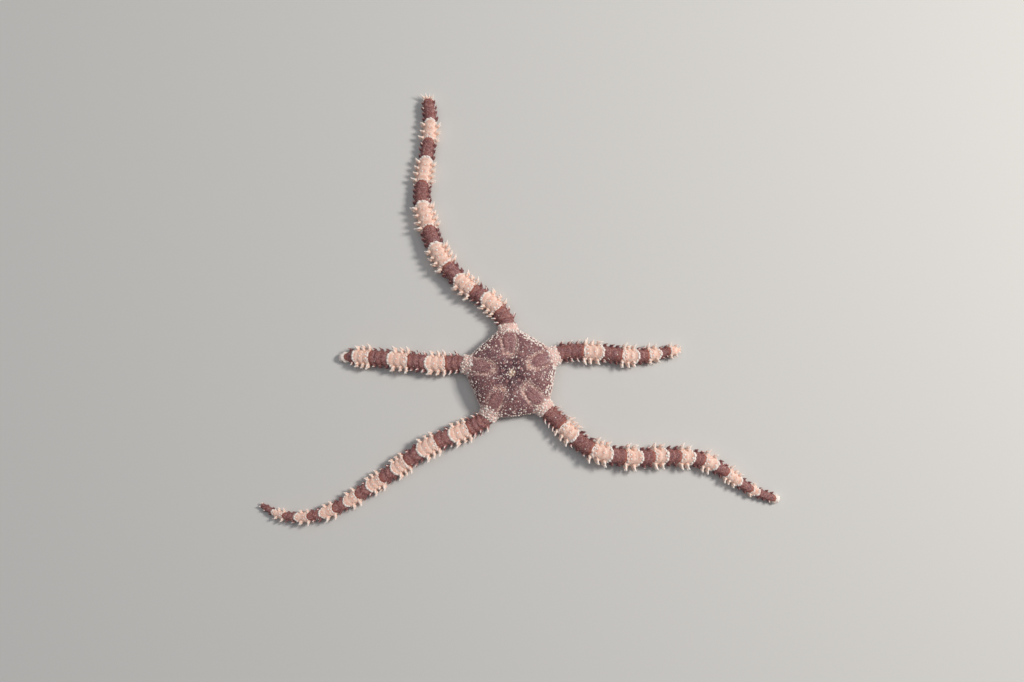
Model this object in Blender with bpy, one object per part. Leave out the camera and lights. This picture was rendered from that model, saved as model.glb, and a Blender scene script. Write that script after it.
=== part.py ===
"""Brittle star, a still life-size model lying on a floor, one named object for each part of its body.

Run it with: blender --background --python part.py

The disc is a puffy pentagon with five collars, one over the root of each arm. Under it five jaws sit in
a round mouth. Each arm is a chain of bony joints that flare towards their outer end and carry short blunt
spines on both sides. An arm is divided into two to four lengths, which meet face to face. Units are
millimetres, turned to metres by MM. +Z is up, the floor is z = 0, and +Y is the way that arm_1 points.
"""

import math
import random

import bmesh
import bpy
import numpy as np
from mathutils import Matrix, Vector

MM = 0.001
GAP = 0.3
SEED = 7

# Where the middle of the disc stands, seen from the middle of the whole model's box.
DISC_X = -1.828
DISC_Y = -16.135

# Disc: a pentagon with its corners on the arms, rounded at the rim, domed on top and swollen between the
# arms. The higher DOME_FULLNESS and BELLY_FULLNESS are, the further out its back and belly stay level.
DISC_EDGES = 5
DISC_APOTHEM = 9.1
DISC_CORNER_SOFTNESS = 0.94
DISC_CROWN = 5.0
DISC_RIM = 2.2
DISC_BELLY = 0.45
DOME_FULLNESS = 3.2
BELLY_FULLNESS = 5.0
LOBE_SWELL = 0.35
LOBE_PLACE = 1.5
DISC_SEGMENTS = 40
DISC_RINGS = 12
RING_SPREAD = 0.85

# Mouth: a round recess under the disc that holds five jaws. A jaw's rings are (distance from the middle of
# the mouth, width, share of the jaw's height).
MOUTH_RADIUS = 3.0
MOUTH_DEPTH = 1.5
MOUTH_SEGMENTS = 30
JAW_CLEARANCE = 0.25
JAW_RINGS = ((0.55, 0.45, 0.6), (1.3, 1.1, 0.9), (MOUTH_RADIUS - GAP, 2.2, 1.0))

# Radial shields, the pair of long plates over the root of each arm, and the oral shields under the disc.
SHIELD_HALF = (2.3, 0.78, 0.55)
SHIELD_MIDDLE = 7.0
SHIELD_SPREAD = 0.82
ORAL_SHIELD_HALF = (0.95, 1.05, 0.4)
ORAL_SHIELD_MIDDLE = 4.6
SHIELD_SIDES = 8
SHIELD_RINGS = 4

# Marginal spinelets, the short thorns along each edge of the disc between two arms. Angles are in degrees.
SPINELETS_PER_EDGE = 8
SPINELET_SPAN = 46.0
SPINELET_AIM_VARIES = 1.5
SPINELET_RISE = (12.0, 48.0)
SPINELET_LENGTH = (0.95, 1.25)
SPINELET_RADII = (0.28, 0.12)
SPINELET_ROOT_DEPTH = 0.75
SPINELET_LIFT = 0.9

# Arms: the collar of the disc ends at ARM_ROOT from the centre, where the arm itself begins. A collar's
# rings are (distance from the centre, share of the arm's width, share of its height).
ARM_ROOT = 10.8
COLLAR_RINGS = (
    (3.4, 0.52, 0.8), (6.0, 0.8, 0.85), (8.8, 1.06, 1.0), (ARM_ROOT - 0.7, 1.15, 1.1),
    (ARM_ROOT - GAP / 2, 1.08, 1.04),
)
ARM_HEIGHT = 0.8
JOINT_PITCH = 1.45
JOINT_PITCH_LEAST = 1.3
JOINT_WAIST = 0.9
JOINT_FLARE = 1.06
WAIST_PLACE = 0.1
FLARE_PLACE = 0.82
TIP_ROUNDING = 0.25
TIP_SHARE = 0.45

# The arm's section, half of it and its crest, as shares of its width and height. The underside is flat.
HALF_SECTION = ((0.27, 0.0), (0.46, 0.2), (0.48, 0.6), (0.27, 0.92))
CREST = (0.0, 1.0)

# Spines: two on each side of a joint, as (height on the side, rise in degrees, length in mm). Where the arm
# is thinner than SINGLE_SPINE_WIDTH, each side has one, from each row in turn.
SPINE_ROWS = ((0.33, 4.0, 2.05), (0.64, 32.0, 1.95))
SINGLE_SPINE_WIDTH = 3.4
SPINE_RISE_VARIES = (-4.0, 6.0)
SPINE_LENGTH_VARIES = (0.88, 1.1)
SPINE_ROOT_LEAST = 0.15
SPINE_RADII = (0.29, 0.13)
SPINE_SIDES = 3
SPINE_SIZE_LEAST = 0.35
SPINE_THINNEST = 0.86

# How spines are set: the root's place along its joint and its depth in mm, how far the spine leans out along
# the arm in degrees, and its share of the row's length. Those of dark joints are shorter and lie closer.
PALE_SPINES = {"place": 0.42, "depth": 0.8, "lean": (22.0, 38.0), "share": 1.0}
DARK_SPINES = {"place": 0.3, "depth": 0.5, "lean": (34.0, 44.0), "share": 0.72}

# Each arm: its route over the floor as (x, y, lift) in mm from the middle of the disc, and its width along
# that route as (distance from the middle of the disc, width). A pale band is a few whole joints, and "bands"
# gives the distances where each begins and ends. The lengths are the nodes that the arm is divided into.
ARMS = {
    "arm_1": {
        "angle": 95.3,
        "route": (
            (-2.5, 13.6, 0.0), (-5.0, 16.2, 0.2), (-10.9, 20.3, 0.5), (-16.2, 26.8, 0.6),
            (-19.4, 35.9, 0.3), (-20.0, 41.4, 0.0), (-18.9, 50.0, 0.0), (-18.3, 56.5, 0.1),
            (-18.9, 62.2, 0.3), (-19.0, 64.6, 0.4),
        ),
        "widths": (
            (10.8, 3.6), (34, 3.5), (44, 3.4), (54, 3.0), (62, 2.85), (69, 2.7), (70.5, 2.0), (71.9, 0.8),
        ),
        "bands": (
            (15.3, 19.7), (22.5, 26.9), (30.4, 35.8), (39.8, 45.6), (50.5, 56.1), (60.4, 64.5), (69.9, 71.9),
        ),
        "lengths": ("base", "middle", "outer", "tip"),
    },
    "arm_2": {
        "angle": 24.0,
        "route": (
            (12.9, 5.1, 0.0), (18.3, 4.8, 0.3), (22.4, 4.4, 0.4), (26.6, 4.0, 0.2), (31.7, 4.6, 0.0),
            (34.5, 5.2, 0.3), (37.1, 5.4, 0.6),
        ),
        "widths": ((10.8, 3.6), (22, 3.4), (28, 3.1), (32, 2.6), (35, 2.0), (37, 1.4), (38.2, 0.7)),
        "bands": ((17.1, 21.3), (25.3, 28.9), (31.2, 34.2), (36.2, 38.3)),
        "lengths": ("base", "tip"),
    },
    "arm_3": {
        "angle": -46.0,
        "route": (
            (9.9, -10.1, 0.0), (12.6, -12.9, 0.2), (16.0, -15.6, 0.5), (19.9, -17.3, 0.6),
            (26.6, -18.1, 0.2), (33.5, -17.8, 0.0), (40.8, -18.5, 0.0), (45.4, -20.7, 0.2),
            (50.8, -24.5, 0.3), (55.8, -26.6, 0.1), (57.9, -27.1, 0.1),
        ),
        "widths": (
            (10.8, 3.6), (35, 3.6), (44, 3.4), (50, 3.0), (56, 2.4), (62, 2.0), (66, 1.7), (67.8, 0.8),
        ),
        "bands": (
            (16.0, 20.0), (24.3, 28.5), (31.6, 35.2), (37.8, 40.8), (43.6, 46.6), (48.9, 51.9), (54.6, 58.0),
            (60.8, 62.4), (66.1, 67.0),
        ),
        "lengths": ("base", "middle", "outer", "tip"),
    },
    "arm_4": {
        "angle": 239.5,
        "route": (
            (-8.5, -11.3, 0.0), (-11.9, -12.9, 0.2), (-15.4, -14.3, 0.4), (-20.2, -17.0, 0.4),
            (-24.5, -20.1, 0.1), (-30.0, -23.9, 0.0), (-35.4, -27.5, 0.0), (-40.2, -29.9, 0.3),
            (-45.6, -30.9, 0.4), (-50.4, -30.2, 0.2), (-54.3, -28.2, 0.0),
        ),
        "widths": ((10.8, 3.6), (26, 3.55), (33, 3.2), (40, 2.9), (50, 2.5), (60, 1.8), (69, 0.8)),
        "bands": (
            (16.1, 20.3), (23.5, 27.7), (31.0, 34.6), (37.7, 41.1), (44.0, 47.2), (49.9, 52.9), (55.5, 58.3),
            (60.8, 63.4),
        ),
        "lengths": ("base", "middle", "tip"),
    },
    "arm_5": {
        "angle": 167.5,
        "route": (
            (-13.2, 2.4, 0.0), (-17.3, 2.4, 0.3), (-21.3, 2.8, 0.4), (-27.2, 3.4, 0.2), (-33.3, 3.9, 0.0),
            (-36.0, 3.9, 0.1), (-38.0, 3.8, 0.2),
        ),
        "widths": ((10.8, 3.6), (28, 3.5), (34, 3.2), (36.6, 2.8), (37.8, 2.0), (38.7, 1.2)),
        "bands": ((15.3, 19.5), (23.2, 27.6), (31.7, 35.5), (37.2, 38.3)),
        "lengths": ("base", "tip"),
    },
}

# Finishes, each a colour and a roughness. Nothing on the animal is metal.
DISC_SKIN = ((0.115, 0.036, 0.042, 1.0), 0.55)
ARM_SKIN = ((0.24, 0.09, 0.08, 1.0), 0.5)
JAW_PLATE = ((0.62, 0.34, 0.28, 1.0), 0.45)
SMOOTH_ANGLE = 40.0


def clear_scene():
    for obj in list(bpy.data.objects):
        bpy.data.objects.remove(obj, do_unlink=True)


def new_collection(name):
    made = bpy.data.collections.new(name)
    bpy.context.scene.collection.children.link(made)
    return made


def finish_of(name, colour, roughness):
    """A Principled material with a piece's colour and roughness."""
    made = bpy.data.materials.new(name)
    made.use_nodes = True
    shader = made.node_tree.nodes["Principled BSDF"]
    shader.inputs["Base Color"].default_value = colour
    shader.inputs["Roughness"].default_value = roughness
    shader.inputs["Metallic"].default_value = 0.0
    return made


def give_finish(mesh, finish):
    mesh.materials.clear()
    mesh.materials.append(finish)
    mesh.shade_smooth()
    mesh.set_sharp_from_angle(angle=math.radians(SMOOTH_ANGLE))


def heading(degrees):
    """The level direction at an angle from +X."""
    angle = math.radians(degrees)
    return Vector((math.cos(angle), math.sin(angle), 0))


class Route:
    """A smooth line through given points, read by the distance along it from its start."""

    STEPS = 24
    REACH = 0.4

    def __init__(self, points):
        self.points = self.smoothed(np.array(points, float))
        steps = np.linalg.norm(np.diff(self.points, axis=0), axis=1)
        self.distance = np.concatenate([[0.0], np.cumsum(steps)])
        self.length = self.distance[-1]

    def smoothed(self, knots):
        """Catmull-Rom: each stretch between two knots bends to run parallel to the knots on either side."""
        ends = np.vstack([2 * knots[0] - knots[1], knots, 2 * knots[-1] - knots[-2]])
        line = []
        for a, b, c, d in zip(ends, ends[1:], ends[2:], ends[3:]):
            for t in np.linspace(0, 1, self.STEPS, endpoint=False):
                bend = (2 * a - 5 * b + 4 * c - d) * t**2 + (3 * b - a - 3 * c + d) * t**3
                line.append(b + ((c - a) * t + bend) / 2)
        line = np.array(line + [knots[-1]])
        line[:, 2] = line[:, 2].clip(min=0.0)
        return line

    def place(self, s):
        return Vector(np.interp(s, self.distance, axis) for axis in self.points.T)

    def frame(self, s):
        """The point at distance s, and the directions along the arm, to its right and up from it."""
        along = (self.place(s + self.REACH) - self.place(s - self.REACH)).normalized()
        right = along.cross(Vector((0, 0, 1))).normalized()
        return self.place(s), along, right, right.cross(along)


def route_of(arm):
    """The arm's route from the middle of the disc, straight out through its collar, then along its points."""
    out = heading(arm["angle"])
    return Route([out * 0, out * (ARM_ROOT / 2), out * ARM_ROOT, *arm["route"]])


def width_at(arm, s):
    return float(np.interp(s, *zip(*arm["widths"])))


def section(frame, width, height):
    """One ring of the arm: the half section, the crest and the mirror image, counted round the arm."""
    middle, _, right, up = frame
    outline = [*HALF_SECTION, CREST, *((-u, v) for u, v in reversed(HALF_SECTION))]
    return [middle + right * (u * width) + up * (v * height) for u, v in outline]


def mesh_object(name, shape, collection):
    """Turns a bmesh in millimetres into an object in metres."""
    bmesh.ops.recalc_face_normals(shape, faces=shape.faces)
    shape.transform(Matrix.Scale(MM, 4))
    mesh = bpy.data.meshes.new(name)
    shape.to_mesh(mesh)
    shape.free()
    obj = bpy.data.objects.new(name, mesh)
    collection.objects.link(obj)
    return obj


def loft(name, rings, collection):
    """A closed skin over rings of equally many points, with a flat cap on both ends."""
    shape = bmesh.new()
    verts = [[shape.verts.new(p) for p in ring] for ring in rings]
    for near, far in zip(verts, verts[1:]):
        for i in range(len(near)):
            j = (i + 1) % len(near)
            quad = (near[i], near[j], far[j], far[i])
            shape.faces.new(quad if i < len(near) // 2 else quad[1:] + quad[:1])
    shape.faces.new(verts[0])
    shape.faces.new(verts[-1])
    bmesh.ops.triangulate(shape, faces=shape.faces, quad_method="FIXED")
    return mesh_object(name, shape, collection)


def thorn(root, direction, length, radii, collection):
    """A short tapered spine from its root along a direction."""
    shape = bmesh.new()
    turn = direction.to_track_quat("Z", "Y").to_matrix().to_4x4()
    middle = root + direction * (length / 2)
    bmesh.ops.create_cone(
        shape, cap_ends=True, segments=SPINE_SIDES, radius1=radii[0], radius2=radii[1], depth=length,
        matrix=Matrix.Translation(middle) @ turn,
    )
    return mesh_object("thorn", shape, collection)


def shield(middle, half, degrees, tilt, collection):
    """A flattened ball with the half sizes given, tilted down at its outer end and turned to an angle."""
    shape = bmesh.new()
    lie = Matrix.Rotation(math.radians(degrees), 4, "Z") @ Matrix.Rotation(tilt, 4, "Y")
    place = Matrix.Translation(middle) @ lie @ Matrix.Diagonal((*half, 1.0))
    bmesh.ops.create_uvsphere(
        shape, u_segments=SHIELD_SIDES, v_segments=SHIELD_RINGS, radius=1.0, matrix=place,
    )
    return mesh_object("shield", shape, collection)


def evaluated_copy(obj):
    graph = bpy.context.evaluated_depsgraph_get()
    return bpy.data.meshes.new_from_object(obj.evaluated_get(graph))


def keep_largest_shell(mesh):
    """Leaves only the closed surface with the most faces."""
    shape = bmesh.new()
    shape.from_mesh(mesh)
    unseen = set(shape.verts)
    shells = []
    while unseen:
        stack = [unseen.pop()]
        shell = set(stack)
        while stack:
            for edge in stack.pop().link_edges:
                for vert in edge.verts:
                    if vert in unseen:
                        unseen.remove(vert)
                        shell.add(vert)
                        stack.append(vert)
        shells.append(shell)
    for shell in sorted(shells, key=len)[:-1]:
        bmesh.ops.delete(shape, geom=list(shell), context="VERTS")
    bmesh.ops.triangulate(shape, faces=shape.faces)
    shape.to_mesh(mesh)
    shape.free()


def fuse(name, body, others, finish, model, cutter=None):
    """One Boolean union of a body with a collection of pieces rooted in it, then a cut, as a node."""
    union = body.modifiers.new("union", "BOOLEAN")
    union.operation = "UNION"
    union.operand_type = "COLLECTION"
    union.collection = others
    union.solver = "EXACT"
    if cutter:
        cut = body.modifiers.new("cut", "BOOLEAN")
        cut.operation = "DIFFERENCE"
        cut.object = cutter
        cut.solver = "EXACT"
    mesh = evaluated_copy(body)
    keep_largest_shell(mesh)
    for obj in [body, *others.objects]:
        bpy.data.objects.remove(obj, do_unlink=True)
    bpy.data.collections.remove(others)
    mesh.name = name
    give_finish(mesh, finish)
    model.objects.link(bpy.data.objects.new(name, mesh))


def joints_of(arm, route):
    """Where one joint ends and the next begins, with whole joints in each band and between the bands."""
    full = arm["widths"][0][1]
    edges = [edge for band in arm["bands"] for edge in band]
    knots = [ARM_ROOT, *(edge for edge in edges if edge < route.length - JOINT_PITCH / 2), route.length]
    ends = [ARM_ROOT]
    for near, far in zip(knots, knots[1:]):
        pitch = max(JOINT_PITCH * width_at(arm, near) / full, JOINT_PITCH_LEAST)
        count = max(1, round((far - near) / pitch))
        ends += [near + (far - near) * (i + 1) / count for i in range(count)]
    return ends


def arm_body(name, arm, route, ends, last, collection):
    """Rings along one length of an arm: each joint is narrow where it begins and flares before it ends."""
    stations = [(ends[0] + GAP / 2, JOINT_WAIST)]
    for near, far in zip(ends, ends[1:]):
        if near > ends[0]:
            stations.append((near + WAIST_PLACE * (far - near), JOINT_WAIST))
        stations.append((near + FLARE_PLACE * (far - near), JOINT_FLARE))
    if last:
        stations += [(ends[-1] - TIP_ROUNDING, JOINT_WAIST), (ends[-1], TIP_SHARE)]
    else:
        stations.append((ends[-1] - GAP / 2, JOINT_WAIST))
    rings = []
    for s, scale in stations:
        width = width_at(arm, s)
        height = ARM_HEIGHT * width * (1 + scale) / 2
        rings.append(section(route.frame(s), width * scale, height))
    return loft(name, rings, collection)


def arm_spines(arm, route, ends, draw, collection):
    """Two spines on each side of a joint, or one where the arm is thin, set by the colour of the joint."""
    full = arm["widths"][0][1]
    for number, (near, far) in enumerate(zip(ends, ends[1:])):
        pale = any(start < (near + far) / 2 < end for start, end in arm["bands"])
        kind = PALE_SPINES if pale else DARK_SPINES
        s = near + kind["place"] * (far - near)
        middle, along, right, up = route.frame(s)
        width = width_at(arm, s)
        size = SPINE_SIZE_LEAST + (1 - SPINE_SIZE_LEAST) * width / full
        for side in (-1, 1):
            rows = SPINE_ROWS
            if width < SINGLE_SPINE_WIDTH:
                rows = SPINE_ROWS[(number + (side > 0)) % 2:][:1]
            for height, rise, length in rows:
                lean = math.radians(draw.uniform(*kind["lean"]))
                climb = math.radians(rise + draw.uniform(*SPINE_RISE_VARIES))
                flat = right * (side * math.cos(lean)) + along * math.sin(lean)
                direction = flat * math.cos(climb) + up * math.sin(climb)
                inset = max(width / 2 - kind["depth"], SPINE_ROOT_LEAST * width)
                root = middle + right * (side * inset) + up * (height * ARM_HEIGHT * width)
                reach = length * size * kind["share"] * draw.uniform(*SPINE_LENGTH_VARIES)
                radii = [radius * max(size, SPINE_THINNEST) for radius in SPINE_RADII]
                thorn(root, direction, reach, radii, collection)


def build_arm(name, arm, finish, model, draw):
    route = route_of(arm)
    ends = joints_of(arm, route)
    count = len(arm["lengths"])
    cuts = [round(i * (len(ends) - 1) / count) for i in range(count + 1)]
    for part, (first, final) in zip(arm["lengths"], zip(cuts, cuts[1:])):
        node = f"{name}_{part}"
        joints = ends[first:final + 1]
        spines = new_collection(f"{node}_spines")
        body = arm_body(node, arm, route, joints, part == "tip", model)
        arm_spines(arm, route, joints, draw, spines)
        fuse(node, body, spines, finish, model)


def arm_angles():
    return sorted(arm["angle"] % 360 for arm in ARMS.values())


def edge_angle(phi):
    """How far phi is from the middle of its edge of the pentagon, with all the edges made equally wide."""
    corners = arm_angles()
    corners.append(corners[0] + 360)
    phi = (phi - corners[0]) % 360 + corners[0]
    place = np.interp(phi, corners, range(DISC_EDGES + 1)) % 1
    return (place - 0.5) * 360 / DISC_EDGES


def edge_middles():
    """The directions between neighbouring arms, in degrees."""
    corners = arm_angles()
    return [(a + b) / 2 for a, b in zip(corners, corners[1:] + [corners[0] + 360])]


def disc_radius(phi):
    """The straight edge of a pentagon, drawn in a little towards the corners."""
    return DISC_APOTHEM / math.cos(math.radians(edge_angle(phi))) ** DISC_CORNER_SOFTNESS


def disc_top(phi, share):
    """Height of the back of the disc at a share of the way out: a full dome, with a lobe between two arms."""
    dome = math.sqrt(1 - share**DOME_FULLNESS)
    between = math.cos(math.radians(DISC_EDGES * edge_angle(phi)))
    lobe = LOBE_SWELL * between * math.sin(math.pi * share**LOBE_PLACE)
    return DISC_RIM + (DISC_CROWN - DISC_RIM) * dome + lobe


def disc_underside(share):
    """Height of the belly at a share of the way out: level nearly to the rim, where it turns up."""
    return DISC_RIM - (DISC_RIM - DISC_BELLY) * math.sqrt(1 - share**BELLY_FULLNESS)


def disc_body(model):
    """A ball with its points moved onto the disc: out to the pentagon, up to its back, down to its belly."""
    shape = bmesh.new()
    bmesh.ops.create_uvsphere(shape, u_segments=DISC_SEGMENTS, v_segments=DISC_RINGS, radius=1.0)
    for vert in shape.verts:
        share = min(vert.co.xy.length, 1.0) ** RING_SPREAD
        phi = math.degrees(math.atan2(vert.co.y, vert.co.x))
        height = disc_top(phi, share) if vert.co.z > 0 else disc_underside(share)
        vert.co = heading(phi) * (share * disc_radius(phi)) + Vector((0, 0, height))
    return mesh_object("disc", shape, model)


def collar(arm, collection):
    """The root of an arm as the disc holds it, flat beneath from beside the mouth to just past the rim."""
    route = route_of(arm)
    width = width_at(arm, ARM_ROOT)
    height = ARM_HEIGHT * width
    rings = [section(route.frame(s), wide * width, tall * height) for s, wide, tall in COLLAR_RINGS]
    return loft("collar", rings, collection)


def radial_shields(arm, collection):
    """The pair of plates over an arm's root, laid along the slope of the disc."""
    out = heading(arm["angle"])
    aside = Vector((-out.y, out.x, 0))
    ends = [SHIELD_MIDDLE - SHIELD_HALF[0], SHIELD_MIDDLE + SHIELD_HALF[0]]
    inner, outer = (disc_top(arm["angle"], end / disc_radius(arm["angle"])) for end in ends)
    tilt = math.atan2(inner - outer, 2 * SHIELD_HALF[0])
    middle = out * SHIELD_MIDDLE + Vector((0, 0, (inner + outer) / 2))
    for side in (-SHIELD_SPREAD, SHIELD_SPREAD):
        shield(middle + aside * side, SHIELD_HALF, arm["angle"], tilt, collection)


def marginal_spinelets(middle, draw, collection):
    """A row of short thorns along one edge of the disc, from just beside one arm to just beside the next."""
    for i in range(SPINELETS_PER_EDGE):
        place = i / (SPINELETS_PER_EDGE - 1) - 0.5
        aim = middle + place * SPINELET_SPAN + draw.uniform(-SPINELET_AIM_VARIES, SPINELET_AIM_VARIES)
        climb = math.radians(draw.uniform(*SPINELET_RISE))
        flat = heading(aim)
        direction = flat * math.cos(climb) + Vector((0, 0, math.sin(climb)))
        height = DISC_RIM + SPINELET_LIFT * math.sin(climb)
        root = flat * (disc_radius(aim) - SPINELET_ROOT_DEPTH) + Vector((0, 0, height))
        thorn(root, direction, draw.uniform(*SPINELET_LENGTH), SPINELET_RADII, collection)


def mouth_cutter():
    recess = bmesh.new()
    bmesh.ops.create_cone(
        recess, cap_ends=True, segments=MOUTH_SEGMENTS, radius1=MOUTH_RADIUS, radius2=MOUTH_RADIUS,
        depth=2 * MOUTH_DEPTH,
    )
    cutter = mesh_object("mouth_cutter", recess, new_collection("cutters"))
    cutter.hide_render = True
    cutter.display_type = "WIRE"
    return cutter


def build_disc(finish, model, draw):
    body = disc_body(model)
    pieces = new_collection("disc_pieces")
    for arm in ARMS.values():
        collar(arm, pieces)
        radial_shields(arm, pieces)
    for middle in edge_middles():
        place = heading(middle) * ORAL_SHIELD_MIDDLE + Vector((0, 0, DISC_BELLY))
        shield(place, ORAL_SHIELD_HALF, middle, 0.0, pieces)
        marginal_spinelets(middle, draw, pieces)
    fuse("disc", body, pieces, finish, model, cutter=mouth_cutter())


def build_jaws(finish, model):
    """Five wedges that point at the middle of the mouth, one between each two arms."""
    tall = MOUTH_DEPTH - GAP - JAW_CLEARANCE
    up = Vector((0, 0, 1))
    for number, middle in enumerate(edge_middles(), 1):
        out = heading(middle)
        rings = [
            section((out * s + up * JAW_CLEARANCE, out, out.cross(up), up), wide, share * tall)
            for s, wide, share in JAW_RINGS
        ]
        give_finish(loft(f"jaw_{number}", rings, model).data, finish)


def place_in_box():
    """Moves the star and its cutter so that the middle of the star's box stands over the origin."""
    shift = Matrix.Translation(Vector((DISC_X, DISC_Y, 0)) * MM)
    for obj in bpy.data.objects:
        obj.data.transform(shift)


def print_box(model):
    corners = np.array([vert.co for obj in model.objects for vert in obj.data.vertices]) / MM
    low, high = corners.min(0), corners.max(0)
    print("middle of the box, mm:", np.round((low + high) / 2, 3), "size:", np.round(high - low, 2))


def main():
    clear_scene()
    draw = random.Random(SEED)
    model = new_collection("brittle_star")
    build_disc(finish_of("disc_skin", *DISC_SKIN), model, draw)
    build_jaws(finish_of("jaw_plate", *JAW_PLATE), model)
    arm_skin = finish_of("arm_skin", *ARM_SKIN)
    for name, arm in ARMS.items():
        build_arm(name, arm, arm_skin, model, draw)
    place_in_box()
    print_box(model)


main()
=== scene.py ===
# %% [markdown]
# # A brittle star, life size
# A brittle star is a disc about two centimetres across with five thin arms, each a chain of small bony
# joints. This one has maroon and peach bands, blunt spines with white tips and a disc covered in grains.
# Every shape here is a surface worked out with numpy: a function of two parameters on a fine grid, so
# that plates and grooves are real geometry, or one small form set many times on such a surface.

import math

import bpy
import numpy as np
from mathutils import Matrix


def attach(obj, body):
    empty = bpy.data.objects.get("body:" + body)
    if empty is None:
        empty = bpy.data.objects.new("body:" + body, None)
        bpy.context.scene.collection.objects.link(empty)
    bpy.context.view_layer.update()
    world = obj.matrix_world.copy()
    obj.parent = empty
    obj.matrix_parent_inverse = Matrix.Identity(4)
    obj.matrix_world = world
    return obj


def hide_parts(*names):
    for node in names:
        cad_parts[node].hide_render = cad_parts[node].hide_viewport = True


MM = 0.001
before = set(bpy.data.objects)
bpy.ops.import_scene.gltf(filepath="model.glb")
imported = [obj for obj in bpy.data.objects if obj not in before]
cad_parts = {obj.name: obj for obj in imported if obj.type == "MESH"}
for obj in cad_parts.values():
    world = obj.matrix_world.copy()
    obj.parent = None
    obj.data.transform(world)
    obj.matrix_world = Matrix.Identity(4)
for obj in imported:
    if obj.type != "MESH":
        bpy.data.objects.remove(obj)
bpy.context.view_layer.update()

# %% [markdown]
# ## Sizes
# The driving sizes are in millimetres, because that is how such an animal is measured. Each arm has a
# route over the floor as (x, y, lift) from the middle of the disc, and its width as (distance along the
# route, width). A band is where it is pale, from one distance to another: a few whole joints, as a real
# joint is one colour all round. Its fan is the tuft of spines at its end: how many, their length, and how
# far they spread to each side in degrees. Its sides are the shares of full length that the spines have on
# its left and on its right.

# %% Driving sizes, in millimetres
DISC_X = -1.828
DISC_Y = -16.135
ARM_ROOT = 10.8
ARM_HEIGHT = 0.8
FULL_WIDTH = 3.6
JOINT_PITCH = 1.45
JOINT_PITCH_LEAST = 1.3
JOINTS_INSIDE = 5
INNER_PITCH = 1.5
SEED = 7

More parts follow.
